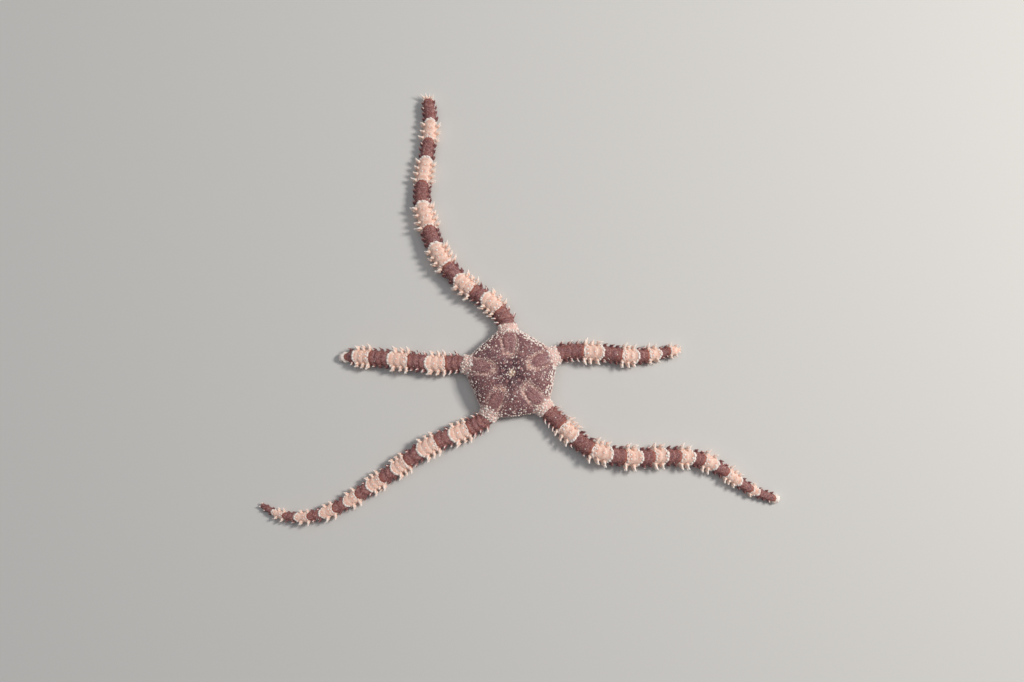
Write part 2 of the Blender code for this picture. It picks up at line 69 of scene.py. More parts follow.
ARMS = {
    "arm_1": {
        "angle": 95.3,
        "route": (
            (-2.5, 13.6, 0.0), (-5.0, 16.2, 0.2), (-10.9, 20.3, 0.5), (-16.2, 26.8, 0.6), (-19.4, 35.9, 0.3),
            (-20.0, 41.4, 0.0), (-18.9, 50.0, 0.0), (-18.3, 56.5, 0.1), (-18.9, 62.7, 0.3),
        ),
        "widths": (
            (10.8, 3.6), (34, 3.5), (44, 3.4), (54, 3.0), (62, 2.85), (68, 2.7), (69.2, 2.3), (70.1, 1.3),
        ),
        "bands": (
            (15.3, 19.7), (22.5, 26.9), (30.4, 35.8), (39.8, 45.6), (50.5, 56.1), (60.4, 64.9), (69.7, 70.1),
        ),
        "fan": (7, 1.5, 42),
        "sides": (0.9, 0.95),
        "nodes": ("arm_1_base", "arm_1_middle", "arm_1_outer", "arm_1_tip"),
    },
    "arm_2": {
        "angle": 24.0,
        "route": (
            (12.9, 5.1, 0.0), (18.3, 4.8, 0.3), (22.4, 4.4, 0.4), (26.6, 4.0, 0.2), (31.7, 4.6, 0.0),
            (34.5, 5.2, 0.3), (37.1, 5.4, 0.6),
        ),
        "widths": (
            (10.8, 3.6), (22, 3.4), (28, 3.1), (32, 2.7), (35, 2.1), (36.3, 2.2), (37, 1.9), (37.8, 1.1),
            (38.2, 0.6),
        ),
        "bands": ((17.1, 21.3), (25.3, 28.9), (31.2, 34.2), (36.2, 38.3)),
        "fan": (5, 0.6, 60),
        "sides": (1.0, 0.85),
        "nodes": ("arm_2_base", "arm_2_tip"),
    },
    "arm_3": {
        "angle": -46.0,
        "route": (
            (9.9, -10.1, 0.0), (12.6, -12.9, 0.2), (16.0, -15.6, 0.5), (19.9, -17.3, 0.6), (26.6, -18.1, 0.2),
            (33.5, -17.8, 0.0), (40.8, -18.5, 0.0), (45.4, -20.7, 0.2), (50.8, -24.5, 0.3),
            (55.8, -26.6, 0.1), (57.9, -27.1, 0.1),
        ),
        "widths": (
            (10.8, 3.6), (35, 3.6), (44, 3.4), (50, 3.0), (56, 2.4), (62, 2.0), (66, 1.75), (67.8, 1.5),
        ),
        "bands": (
            (16.0, 20.0), (24.3, 28.5), (31.6, 35.2), (37.8, 40.8), (43.6, 46.6), (48.9, 51.9), (54.6, 58.0),
            (60.8, 62.4), (66.1, 67.0),
        ),
        "fan": (0, 0.0, 0),
        "sides": (1.0, 0.85),
        "nodes": ("arm_3_base", "arm_3_middle", "arm_3_outer", "arm_3_tip"),
    },
    "arm_4": {
        "angle": 239.5,
        "route": (
            (-8.5, -11.3, 0.0), (-11.9, -12.9, 0.2), (-15.4, -14.3, 0.4), (-20.2, -17.0, 0.4),
            (-24.5, -20.1, 0.1), (-30.0, -23.9, 0.0), (-35.4, -27.5, 0.0), (-40.2, -29.9, 0.3),
            (-45.6, -30.9, 0.4), (-50.4, -30.2, 0.2), (-54.3, -28.2, 0.0),
        ),
        "widths": ((10.8, 3.6), (26, 3.55), (33, 3.2), (40, 2.9), (50, 2.5), (60, 1.8), (69, 0.8)),
        "bands": (
            (16.1, 20.3), (23.5, 27.7), (31.0, 34.6), (37.7, 41.1), (44.0, 47.2), (49.9, 52.9), (55.5, 58.3),
            (60.8, 63.4),
        ),
        "fan": (3, 0.5, 30),
        "sides": (1.05, 0.75),
        "nodes": ("arm_4_base", "arm_4_middle", "arm_4_tip"),
    },
    "arm_5": {
        "angle": 167.5,
        "route": (
            (-13.2, 2.4, 0.0), (-17.3, 2.4, 0.3), (-21.3, 2.8, 0.4), (-27.2, 3.4, 0.2), (-33.3, 3.9, 0.0),
            (-36.0, 3.9, 0.1), (-38.0, 3.8, 0.2),
        ),
        "widths": ((10.8, 3.6), (28, 3.5), (34, 3.2), (35.5, 2.9), (36.3, 2.2), (37.3, 1.8), (38.7, 1.5)),
        "bands": ((15.3, 19.5), (23.2, 27.6), (31.7, 35.5), (37.2, 38.3)),
        "fan": (0, 0.0, 0),
        "sides": (0.72, 1.0),
        "nodes": ("arm_5_base", "arm_5_tip"),
    },
}
INSIDE_WIDTHS = ((3.2, 1.7), (6.0, 2.7), (8.8, 3.4))
ARM_ANGLES = np.array(sorted(arm["angle"] % 360 for arm in ARMS.values()))
EDGE_MIDDLES = (ARM_ANGLES + np.append(ARM_ANGLES[1:], ARM_ANGLES[0] + 360)) / 2
print("between the arms, degrees:", np.round(EDGE_MIDDLES, 1))

# %% [markdown]
# ## Small tools
# `ease` is the smooth step that most masks here are made of, and `bell` is a bump. `bent` makes a circle
# squarer or rounder. `heading` turns an angle into a level direction.

# %% Small tools
UP = np.array((0, 0, 1))


def ease(x, low, high):
    """t = (x - low) / (high - low), held between 0 and 1, then 3 t^2 - 2 t^3."""
    t = np.clip((x - low) / (high - low), 0, 1)
    return t * t * (3 - 2 * t)


def bell(x, middle, width):
    """exp(-((x - middle) / width)^2)."""
    return np.exp(-(((x - middle) / width) ** 2))


def bent(x, power):
    """|x|^power with the sign of x."""
    return np.sign(x) * np.abs(x) ** power


def heading(degrees):
    """(cos, sin, 0) of an angle in degrees, for one angle or an array of them."""
    angle = np.radians(degrees)
    return np.stack([np.cos(angle), np.sin(angle), 0 * angle], -1)


def unit(vectors):
    """Each vector divided by its length."""
    return vectors / np.linalg.norm(vectors, axis=-1, keepdims=True)


print("three headings:", np.round(heading(np.array((0, 45, 90))), 2).tolist())

# %% [markdown]
# ## The route of an arm
# An arm bends in smooth curves. A Catmull-Rom curve goes through all its points and needs no handles, so
# it suits a route given as places on the floor. Joints, bands and widths are placed by their distance
# along it.

# %% Routes and joints
def smooth_line(knots, steps=96):
    """b + ((c - a) t + (2a - 5b + 4c - d) t^2 + (3b - a - 3c + d) t^3) / 2, between knots b and c."""
    ends = np.vstack([2 * knots[0] - knots[1], knots, 2 * knots[-1] - knots[-2]])
    a, b, c, d = (ends[i:len(ends) - 3 + i, None] for i in range(4))
    t = np.linspace(0, 1, steps, endpoint=False)[None, :, None]
    line = b + ((c - a) * t + (2 * a - 5 * b + 4 * c - d) * t**2 + (3 * b - a - 3 * c + d) * t**3) / 2
    line = np.vstack([line.reshape(-1, 3), knots[-1:]])
    line[:, 2] = line[:, 2].clip(min=0)
    return line


def width_at(arm, s):
    """The width at distance s: straight between the given widths."""
    return np.interp(s, *arm["taper"])


def lay_out(arm):
    """Adds an arm's line, the distance along it, its widths and bands as two rows each, and its joints,
    which divide each band evenly at about JOINT_PITCH, and less where the arm is thin."""
    out = heading(arm["angle"])
    line = smooth_line(np.array([out * 0, out * ARM_ROOT / 2, out * ARM_ROOT, *arm["route"]]))
    arm["line"] = line
    arm["distance"] = np.append(0, np.cumsum(np.linalg.norm(np.diff(line, axis=0), axis=1)))
    arm["length"] = arm["distance"][-1]
    arm["taper"] = np.array(INSIDE_WIDTHS + arm["widths"]).T
    last = arm["length"] - JOINT_PITCH / 2
    knots = [ARM_ROOT, *(edge for band in arm["bands"] for edge in band if edge < last), arm["length"]]
    ends = list(ARM_ROOT - INNER_PITCH * np.arange(JOINTS_INSIDE, -1, -1))
    for near, far in zip(knots, knots[1:]):
        pitch = max(JOINT_PITCH * width_at(arm, near) / FULL_WIDTH, JOINT_PITCH_LEAST)
        count = max(1, round((far - near) / pitch))
        ends += [near + (far - near) * (i + 1) / count for i in range(count)]
    arm["ends"] = np.array(ends)
    arm["numbers"] = np.arange(len(ends)) - JOINTS_INSIDE
    starts, stops = np.array(arm["bands"]).T
    arm["band_rows"] = starts, np.where(stops > last, arm["length"], stops)


def distance_of(arm, q):
    """The distance along the arm at joint number q, where a fraction is a place in the joint."""
    return np.interp(q, arm["numbers"], arm["ends"])


def band_share(arm, q):
    """How far joint number q is along its pale band, from 0 to 1, or -1 where the arm is dark. A last
    band that is shorter than a joint counts as an outer edge, which is white."""
    s = distance_of(arm, q)
    starts, stops = arm["band_rows"]
    band = np.clip(np.searchsorted(starts, s, side="right") - 1, 0, None)
    share = (s - starts[band]) / (stops[band] - starts[band])
    white = (stops[band] == arm["length"]) & (stops[band] - starts[band] < JOINT_PITCH)
    return np.where((share >= 0) & (share <= 1), np.maximum(share, 0.97 * white), -1.0)


def place_on(arm, s):
    """The point of the route at distance s."""
    return np.stack([np.interp(s, arm["distance"], axis) for axis in arm["line"].T], -1)


def frames(arm, s, reach=0.4):
    """The points at distances s, and unit vectors along the arm, to its right and up from it."""
    along = unit(place_on(arm, s + reach) - place_on(arm, s - reach))
    right = unit(np.cross(along, UP))
    return place_on(arm, s), along, right, np.cross(right, along)


for name, arm in ARMS.items():
    lay_out(arm)

# %% [markdown]
# ## Surfaces into meshes
# Every surface here is a grid that closes round, with one point at each end, like a globe. That one form
# makes an arm, the disc, a spine and a grain, so one function writes the faces of them all. A small form
# is repeated by adding an offset to the numbers of its points, so a thousand spines are still one mesh.

# %% Closed grids
def globe_faces(rows, columns):
    """Corners of the faces of a closed grid: point 0, then rows of points, then the last point. Triangles
    close the ends, and corner r, c of a quad is 1 + r * columns + (c mod columns)."""
    r, c = np.meshgrid(np.arange(rows - 1), np.arange(columns), indexing="ij")
    turn = (c + 1) % columns
    here, below = r * columns, (r + 1) * columns
    quads = np.stack([here + c, here + turn, below + turn, below + c], -1)
    ring = np.arange(columns)
    onward = (ring + 1) % columns
    top = 1 + (rows - 1) * columns
    first_fan = np.stack([0 * ring, 1 + onward, 1 + ring], -1)
    last_fan = np.stack([0 * ring + rows * columns + 1, top + ring, top + onward], -1)
    return quads.reshape(-1, 4) + 1, np.vstack([first_fan, last_fan])


def globe(first, grid, last):
    """The points of a closed grid in the order that globe_faces counts them."""
    return np.concatenate([first.reshape(1, -1), grid.reshape(-1, grid.shape[-1]), last.reshape(1, -1)])


def globe_values(first, grid, last):
    """The same for a number at each point."""
    return np.concatenate([[first], np.ravel(grid), [last]])


def make_piece(name, points, faces, masks, bake=None, flip=False):
    """One object from points in millimetres (any shape of array ending in 3) and the faces of one form,
    which is repeated when there are more points than one form has. Nothing is left below the floor."""
    quads, triangles = faces
    points = points.reshape(-1, 3)
    points[:, 2] = points[:, 2].clip(min=0)
    form = int(max(quads.max(), triangles.max())) + 1
    offset = np.arange(0, len(points), form)[:, None, None]
    quads = (quads + offset).reshape(-1, 4)
    triangles = (triangles + offset).reshape(-1, 3)
    if flip:
        quads, triangles = quads[:, ::-1], triangles[:, ::-1]
    corners = np.concatenate([quads.ravel(), triangles.ravel()]).astype(np.int32)
    starts = np.append(np.arange(len(quads)) * 4, len(quads) * 4 + np.arange(len(triangles)) * 3)
    mesh = bpy.data.meshes.new(name)
    mesh.vertices.add(len(points))
    mesh.vertices.foreach_set("co", ((points + (DISC_X, DISC_Y, 0)) * MM).astype(np.float32).ravel())
    mesh.loops.add(len(corners))
    mesh.loops.foreach_set("vertex_index", corners)
    mesh.polygons.add(len(starts))
    mesh.polygons.foreach_set("loop_start", starts.astype(np.int32))
    mesh.update(calc_edges=True)
    mesh.shade_smooth()
    for mask, values in masks.items():
        layer = mesh.attributes.new(mask, "FLOAT", "POINT")
        layer.data.foreach_set("value", np.broadcast_to(values, points.shape[:1]).astype(np.float32))
    if bake is not None:
        layer = mesh.uv_layers.new(name="OFBake")
        layer.uv.foreach_set("vector", bake.reshape(-1, 2)[corners].astype(np.float32).ravel())
    piece = bpy.data.objects.new(name, mesh)
    bpy.context.scene.collection.objects.link(piece)
    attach(piece, "root")
    print(name, "has", len(quads) * 2 + len(triangles), "triangles")
    return piece


# %% [markdown]
# ## Arm skin
# An arm joint has a round plate on its back, a side plate that swells where the spines stand, and a belly
# plate. Its section is a rounded arch with a flat belly. The plates could be pieces of their own, but
# living skin covers them, so the arm is one surface with its plates in relief. The edge of each joint is
# bowed: it reaches further out on the crest than on the sides, as the round plates of the back lap over
# one another.

# %% The surface of an arm
# Rises and grooves are in mm on a full-width arm, BOW is in joints, and angles are from the crest.
ROUND_COLUMNS = 80
ROWS_PER_JOINT = 18
BOW = 1.3
BOW_FALL = 0.8
BACK_HALF = math.radians(58)
PLATE_POWER = 2.4
SIDE_SWELL = 0.24
PALE_SWELL = 0.3
BACK_RISE = 0.045
LIP_RISE = 0.015
GROOVE = 0.03
SIDE_GROOVE = 0.08
BELLY_GROOVE = 0.09
BELLY_HALF = math.radians(38)
WAIST = 0.42
STRAIGHT_TO = (28, 34)
EMBER_REACH = 0.42
SIDE_FROM, SIDE_FULL, SIDE_UNDER, SIDE_END = np.radians((50, 76, 122, 146))
BELLY_FROM, BELLY_FULL = np.radians((128, 150))


def lag(theta):
    """How far the sides lag behind the crest, in joints: BOW (1 - sqrt(1 - BOW_FALL sin^2)), level below."""
    side = np.where(np.abs(theta) < math.pi / 2, np.sin(theta), 1.0)
    return BOW * (1 - np.sqrt(1 - BOW_FALL * side**2))


def band_marks(arm, q, theta):
    """Whether the skin is pale, how far along its band it is, and how near it is to the inner edge from
    outside.

    The outer edge of a band follows the bowed joints. So does its inner edge far out on the arm, but near
    the disc that edge runs nearly straight across: gap = s - start + 0.25 - 0.6 (1 - cos theta)."""
    bowed = distance_of(arm, q + lag(theta))
    starts, stops = arm["band_rows"]
    band = np.searchsorted(stops, bowed, side="right").clip(max=len(stops) - 1)
    start, stop = starts[band], stops[band]
    straight = 1 - ease(start, *STRAIGHT_TO)
    across = distance_of(arm, q) - start + 0.25 - 0.6 * (1 - np.cos(theta).clip(min=0))
    gap = (bowed - start) * (1 - straight) + across * straight
    inside = bowed <= stop
    share = band_share(arm, q + lag(theta)).clip(min=0)
    share = np.where(share < 0.5, np.minimum(share, (gap / (stop - start)).clip(min=0)), share)
    return (gap >= 0) & inside, share, bell(gap.clip(max=0), 0, EMBER_REACH) * inside


def arm_surface(arm, q, theta):
    """Points at joint number q and angle theta from the crest.

    Section: x = half |sin|^0.8, z = waist + (height - waist) |cos|^0.85 above the waist and waist - waist
    |cos|^0.5 below it. Relief is added along (sin, cos). Plate coordinates are a = 2u - 1 along and b =
    theta / BACK_HALF round, and r = (|a|^2.4 + |b|^2.4)^(1 / 2.4) is 1 on the plate's edge."""
    q, theta = np.broadcast_arrays(q, theta)
    s = distance_of(arm, q)
    middle, _, right, up = frames(arm, s)
    width = width_at(arm, s)
    size = width / FULL_WIDTH
    side, crest = np.sin(theta), np.cos(theta)
    bowed = q + lag(theta)
    u = bowed - np.floor(bowed)
    turn = np.abs(theta)
    a = 2 * u - 1
    r = (np.abs(a) ** PLATE_POWER + (turn / BACK_HALF) ** PLATE_POWER) ** (1 / PLATE_POWER)

    flare = 0.96 + 0.06 * bell(u, 0.62, 0.3)
    height = ARM_HEIGHT * width * (1 + flare) / 2
    waist = WAIST * height
    x = 0.475 * width * flare * bent(side, 0.8)
    z = waist + (height - waist) * np.abs(crest) ** 0.85
    z = np.where(crest > 0, z, waist * (1 - np.abs(crest) ** 0.5))

    back = BACK_RISE * (1 - ease(r, 0.72, 1.04))
    lip = LIP_RISE * ease(a, -0.5, 0.95) * (1 - ease(r, 0.93, 1.03))
    groove = GROOVE * bell(r, 1.08, 0.07) * (turn < math.radians(95))
    on_side = ease(turn, SIDE_FROM, SIDE_FULL) * (1 - ease(turn, SIDE_UNDER, SIDE_END))
    pale, share, ember = band_marks(arm, q, theta)
    swell = (SIDE_SWELL + PALE_SWELL * (band_share(arm, bowed) >= 0)) * bell(u, 0.58, 0.32) * on_side
    side_groove = SIDE_GROOVE * (bell(u, 0.02, 0.07) + bell(u, 1.0, 0.06)) * on_side
    relief = (back + lip - groove + swell - side_groove) * size
    belly = ease(turn, BELLY_FROM, BELLY_FULL)
    plate = 1 - ease(np.maximum(np.abs(a), (math.pi - turn) / BELLY_HALF), 0.8, 0.98)
    x = x + relief * side * (1 - belly)
    z = z + relief * crest * (1 - belly) + belly * BELLY_GROOVE * size * (1 - plate)

    start = np.clip((s - arm["ends"][0]) / 0.8, 0, 1)
    tip = np.clip((arm["length"] - s) / (0.3 * width_at(arm, arm["length"]) + 0.25), 0, 1)
    close = np.sqrt(1 - (1 - start) ** 2) * np.sqrt(1 - (1 - tip) ** 2)
    z = z * close + 0.4 * height * (1 - close)
    points = middle + right * (x * close)[..., None] + up * z[..., None]
    points[..., 2] = points[..., 2].clip(min=0)
    masks = {
        "pale": pale * 1.0,
        "ember": ember,
        "share": share,
        "plate": np.minimum(r, 1.5),
        "side": ease(turn, SIDE_FROM, math.radians(85)),
        "belly": belly,
    }
    return points, masks


def arm_skin(name, arm):
    """A whole arm: rows along it at even steps of joint number, and columns round it at even angles."""
    first, last = arm["numbers"][[0, -1]]
    q = np.linspace(first, last, (last - first) * ROWS_PER_JOINT + 1)
    theta = np.linspace(-math.pi, math.pi, ROUND_COLUMNS, endpoint=False)
    grid, masks = arm_surface(arm, q[1:-1, None], theta)
    ends, end_masks = arm_surface(arm, q[[0, -1]], 0.0)
    masks = {mask: globe_values(end_masks[mask][0], masks[mask], end_masks[mask][1]) for mask in masks}
    points = globe(ends[0], grid, ends[1])
    piece = make_piece(f"{name}_skin", points, globe_faces(*grid.shape[:2]), masks)
    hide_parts(*arm["nodes"])
    return piece


arm_skins = [arm_skin(name, arm) for name, arm in ARMS.items()]

# %% [markdown]
# ## Small forms set on a surface
# A spine is a round rod that narrows to a blunt end, and a grain is a low dome. Both are the same closed
# grid with another profile. Each copy gets a root, a direction, a radius and a length of its own. Its
# place in the bake map is a small patch at its root's place on the map of the skin that it stands on.

# %% Rods, domes and their copies
PATCH = 0.003


def rod_form(profile, columns):
    """A closed rod along +Z, 1 long. The profile lists (radius, height) from its root to its tip."""
    radius, height = np.array(profile).T
    rows = len(profile) - 2
    ring = heading(np.linspace(0, 360, columns, endpoint=False))
    grid = radius[1:-1, None, None] * ring + height[1:-1, None, None] * UP
    fold = np.broadcast_to(np.abs(np.linspace(-1, 1, columns, endpoint=False)), (rows, columns))
    return {
        "points": globe(height[0] * UP, grid, height[-1] * UP),
        "fold": globe_values(0.5, fold, 0.5),
        "faces": globe_faces(rows, columns),
    }


def set_copies(form, roots, direction, radius, length, flat=1.0, bend=0.0):
    """root + side * x r + lift * y r flat + direction * z length, with an upward bend of bend * z^2."""
    direction = unit(direction)
    side = np.cross(direction, UP)
    side = unit(np.where(np.linalg.norm(side, axis=-1, keepdims=True) < 0.05, (1.0, 0, 0), side))
    lift = np.cross(side, direction)
    x, y, z = form["points"].T[..., None]
    sizes = (radius, length, flat, bend)
    radius, length, flat, bend = (np.broadcast_to(size, len(roots))[:, None, None] for size in sizes)
    across = side[:, None] * x * radius + lift[:, None] * (y * radius * flat + bend * z**2)
    return roots[:, None] + across + direction[:, None] * z * length


def make_copies(name, form, placed, on_map, masks):
    """A piece of copies. Each keeps its own masks and the height within it. On the bake map it is the
    root's (u, v), plus the fold round the form and its height, each scaled to half a patch either way."""
    points = set_copies(form, *placed)
    height = form["points"][:, 2]
    u, v = on_map
    bake = np.stack([u[:, None] + (form["fold"] - 0.5) * PATCH, v[:, None] + (height - 0.5) * PATCH], -1)
    masks = {mask: np.repeat(values, len(height)) for mask, values in masks.items()}
    masks["height"] = np.tile(height, len(points))
    return make_piece(name, points, form["faces"], masks, bake)


SPINE = rod_form(
    ((0, -0.12), (1.2, -0.1), (1.08, 0.16), (0.76, 0.44), (0.5, 0.7), (0.3, 0.92), (0, 1.0)), 8
)
DOME = rod_form(((0, -0.5), (0.86, -0.42), (1.0, 0.0), (0.92, 0.42), (0.66, 0.78), (0.33, 0.96), (0, 1.0)), 8)
SMALL_DOME = rod_form(((0, -0.4), (0.95, -0.2), (0.9, 0.45), (0.5, 0.88), (0, 1.0)), 6)
print("points in a spine:", len(SPINE["points"]), "in a dome:", len(DOME["points"]))

# %% [markdown]
# ## Spines of the arms
# Each side plate carries an upright row of five blunt spines, like a comb. From above, the spines of one
# comb nearly hide one another, so a joint seems to have one or two. They lean out along the arm. In pale
# joints they stand out from it, and in dark ones they are thinner and lie closer to it. A whole arm is
# worked out at once, and the draws that vary it come from one seeded generator for each arm.

# %% Spines
# A row: angle from the crest, rise and added lean in degrees, length in mm where pale and dark, stoutness.
SPINE_ROWS = np.array((
    (62, 26, -14, 1.1, 0.9, 1.1), (78, 12, 6, 1.28, 1.0, 1.15), (95, 2, -6, 1.05, 0.9, 0.8),
    (110, -4, 12, 0.85, 0.8, 0.65), (123, -5, 0, 0.6, 0.65, 0.5),
))
PALE_SPINE = {"radius": 0.34, "lean": 34}
DARK_SPINE = {"radius": 0.19, "lean": 60}
SPINE_PLACE = 0.6
SPINE_SINK = 0.12
COMB_THETA = math.radians(80)
WHITE_TIPPED = (17, 24)
LAST_LEAN = 50
FAN_RADIUS = 0.26


def joint_place(number, u, theta):
    """The joint number q of the point whose bowed place is u within a joint: number + u - lag."""
    return number + u - lag(theta)


def on_arm_map(arm, s, theta):
    """A place on the bake map of an arm: u runs along it and v runs round it, both just inside the edges."""
    return 0.02 + 0.96 * s / arm["length"], 0.5 + 0.48 * theta / math.pi


def tip_fan(arm):
    """Spines spread like a fan at the end of an arm: direction = along cos + right sin of the spread."""
    count, length, widest = arm["fan"]
    spread = np.radians(np.linspace(-widest, widest, max(count, 2)))[:count]
    end = arm["length"] - 0.35 - 0.7 * (np.arange(count) % 2) * length
    middle, along, right, up = frames(arm, end, 0.2)
    width = width_at(arm, end)
    direction = along * np.cos(spread)[:, None] + right * np.sin(spread)[:, None] + up * 0.3
    aside = 0.36 * width * np.sin(spread) / math.sin(math.radians(50))
    roots = middle + right * aside[:, None] + up * (0.45 * width)[:, None]
    length = length * (1 + 0.25 * np.cos(2.5 * np.arange(count)))
    pale = np.full(count, band_share(arm, arm["numbers"][-1] - 0.2) >= 0)
    return roots, direction, np.full(count, FAN_RADIUS), length, end, spread, pale, np.ones(count)


def arm_spines(name, arm, draw):
    """Directions: (right cos + along sin) of the lean, turned up by the rise, with tips off the floor."""
    count = arm["numbers"][-1]
    places = np.meshgrid(np.arange(count), (-1, 1), np.arange(len(SPINE_ROWS)), indexing="ij")
    number, hand, row = (place.ravel() for place in places)
    theta, rise, turn, pale_length, dark_length, stout = SPINE_ROWS[row].T
    comb = np.repeat(draw.normal(0, 1, (3, 2 * count)), len(SPINE_ROWS), axis=1)
    varied = draw.normal(0, 1, (4, len(number)))
    theta = np.radians(theta + 2 * varied[0]) * hand
    q = joint_place(number, SPINE_PLACE + 0.05 * comb[0] + 0.02 * varied[1], COMB_THETA)
    q = np.clip(q, 0, count - 0.12)
    s = distance_of(arm, q)
    share = band_share(arm, number + 0.5)
    pale = share >= 0
    last = s > arm["length"] - 1.6
    near = (1 - ease(s, *WHITE_TIPPED)) * ~pale

    lean = np.where(pale, PALE_SPINE["lean"], DARK_SPINE["lean"]) + turn + 8 * comb[1] + 3 * varied[2]
    lean = lean + pale * 34 * (share - 0.5) - 16 * near
    lean = np.radians(np.where(last, LAST_LEAN + 10 * comb[1] + 5 * varied[2], lean))
    climb = np.radians(rise + 4 * varied[3])
    _, along, right, up = frames(arm, s)
    out = right * (hand * np.cos(lean))[:, None] + along * np.sin(lean)[:, None]
    direction = out * np.cos(climb)[:, None] + up * np.sin(climb)[:, None]

    size = 0.4 + 0.6 * width_at(arm, s) / FULL_WIDTH
    length = np.where(pale, pale_length, dark_length) * size * (1 + 0.1 * comb[2])
    length = length * (1 + pale * (0.8 * np.abs(share - 0.5) - 0.2) + 0.3 * near)
    length = length * np.where(hand < 0, *arm["sides"])
    radius = np.where(pale, PALE_SPINE["radius"], DARK_SPINE["radius"]) * stout * np.maximum(size, 0.7)
    roots = arm_surface(arm, q, theta)[0] - direction * SPINE_SINK
    low = roots[:, 2] + direction[:, 2] * length < radius
    direction[:, 2] = np.where(low, (radius - roots[:, 2]) / length, direction[:, 2])

    bare_end = 1.3 * (arm["fan"][0] == 0)
    pick = (s > ARM_ROOT + 0.15) & ((size > 0.75) | (row < 4)) & (s < arm["length"] - 0.15 - bare_end)
    white = 0.7 + 0.3 * ((np.abs(share - 0.5) > 0.2) | last) - 0.3 * (draw.random(len(pale)) < 0.2)
    tipped = draw.random(len(pale)) < 0.15 + 0.75 * near
    white = np.where(pale, white, 0.15 + 0.7 * tipped)
    on_sides = (roots, direction, radius, length, s, theta, pale, white)
    roots, direction, radius, length, s, theta, pale, white = (
        np.concatenate([values[pick], tips]) for values, tips in zip(on_sides, tip_fan(arm))
    )
    placed = roots, direction, radius, length, 0.75, 0.1
    masks = {"pale": pale, "tone": white}
    return make_copies(f"{name}_spines", SPINE, placed, on_arm_map(arm, s, theta), masks)


spine_pieces = [
    arm_spines(name, arm, np.random.default_rng(SEED + i)) for i, (name, arm) in enumerate(ARMS.items())
]

# %% [markdown]
# ## Small plates round the plates of the back
# On this kind of brittle star each plate of the back has a ring of small plates round it, like beads: low
# domes on the edge of the plate, most of them on its outer side. The outer edge of a pale band is a row
# of larger white knobs, and one or two white beads lie at its middle. On the belly a small scale lies
# beside each pore.

# %% Beads on the arms
RING_TURNS = np.radians((-76, -57, -38, -19, 0, 19, 38, 57, 76, 108, 138, -108, -138))
KNOB_THETAS = np.radians((-80, -56, -36, -17, 3, 22, 42, 62, 82))
SCALE_THETAS = np.radians((-143, 143))
BEAD, DOT, SCALE, KNOB, INNER_KNOB = range(5)
BEAD_RADII = np.array((0.14, 0.23, 0.2, 0.36, 0.3))
BEAD_LENGTHS = np.array((0.1, 0.1, 0.06, 0.26, 0.16))
BEAD_LEANS = np.array((0.0, 0.0, 0.0, 1.0, -0.5))
BEAD_LOOSENESS = np.array((1.0, 0.6, 1, 2, 2.5))
SEED_BEADS = SEED + 20


def row_of_knobs(joints, u, straight):
    """A row of knobs across the back of each of these joints, along its bowed edge or straight across."""
    theta = np.tile(KNOB_THETAS, len(joints))
    joints, u, straight = (np.repeat(values, len(KNOB_THETAS)) for values in (joints, u, straight))
    return joints, u + straight * (lag(theta) + 0.4 * (1 - np.cos(theta))), theta


def bead_places(arm):
    """Joint numbers, angles and kinds. Ring: a = cos^(2/2.4) and b = sin^(2/2.4), signs kept: r is 1."""
    count = arm["numbers"][-1]
    each = np.arange(count)
    a = bent(np.cos(RING_TURNS), 2 / PLATE_POWER)
    b = bent(np.sin(RING_TURNS), 2 / PLATE_POWER)
    ring = np.repeat(each, len(a)), np.tile(0.5 + 0.51 * a, count), np.tile(b * BACK_HALF * 1.06, count)
    starts, ends = arm["band_rows"]
    stops = ends[ends < arm["length"] - 0.5]
    lasts = np.rint(np.interp(stops, arm["ends"], arm["numbers"])) - 1
    knobs = row_of_knobs(lasts, np.full(len(lasts), 0.92), np.zeros(len(lasts)))
    long = starts[ends - starts > JOINT_PITCH]
    firsts = np.rint(np.interp(long, arm["ends"], arm["numbers"]))
    inner_knobs = row_of_knobs(firsts, 0.1 - 0.15 * (long < STRAIGHT_TO[0]), 1 - ease(long, *STRAIGHT_TO))
    wide = stops - starts[:len(stops)] > JOINT_PITCH * 1.5
    middles = (stops[wide] + starts[:len(stops)][wide]) / 2
    middle = np.floor(np.interp(middles, arm["ends"], arm["numbers"]))
    u, aside = np.repeat(((0.55, 0.5, 0.42), (0.0, 0.2, -0.2)), len(middle), axis=1)
    dots = np.concatenate([middle, middle - 1, middle - 1]), u, aside
    scales = np.repeat(each, 2), np.full(2 * count, 0.75), np.tile(SCALE_THETAS, count)
    groups = ring, dots, scales, knobs, inner_knobs
    number, u, theta = (np.concatenate(parts) for parts in zip(*groups))
    return number, u, theta, np.repeat(range(len(groups)), [len(group[0]) for group in groups])


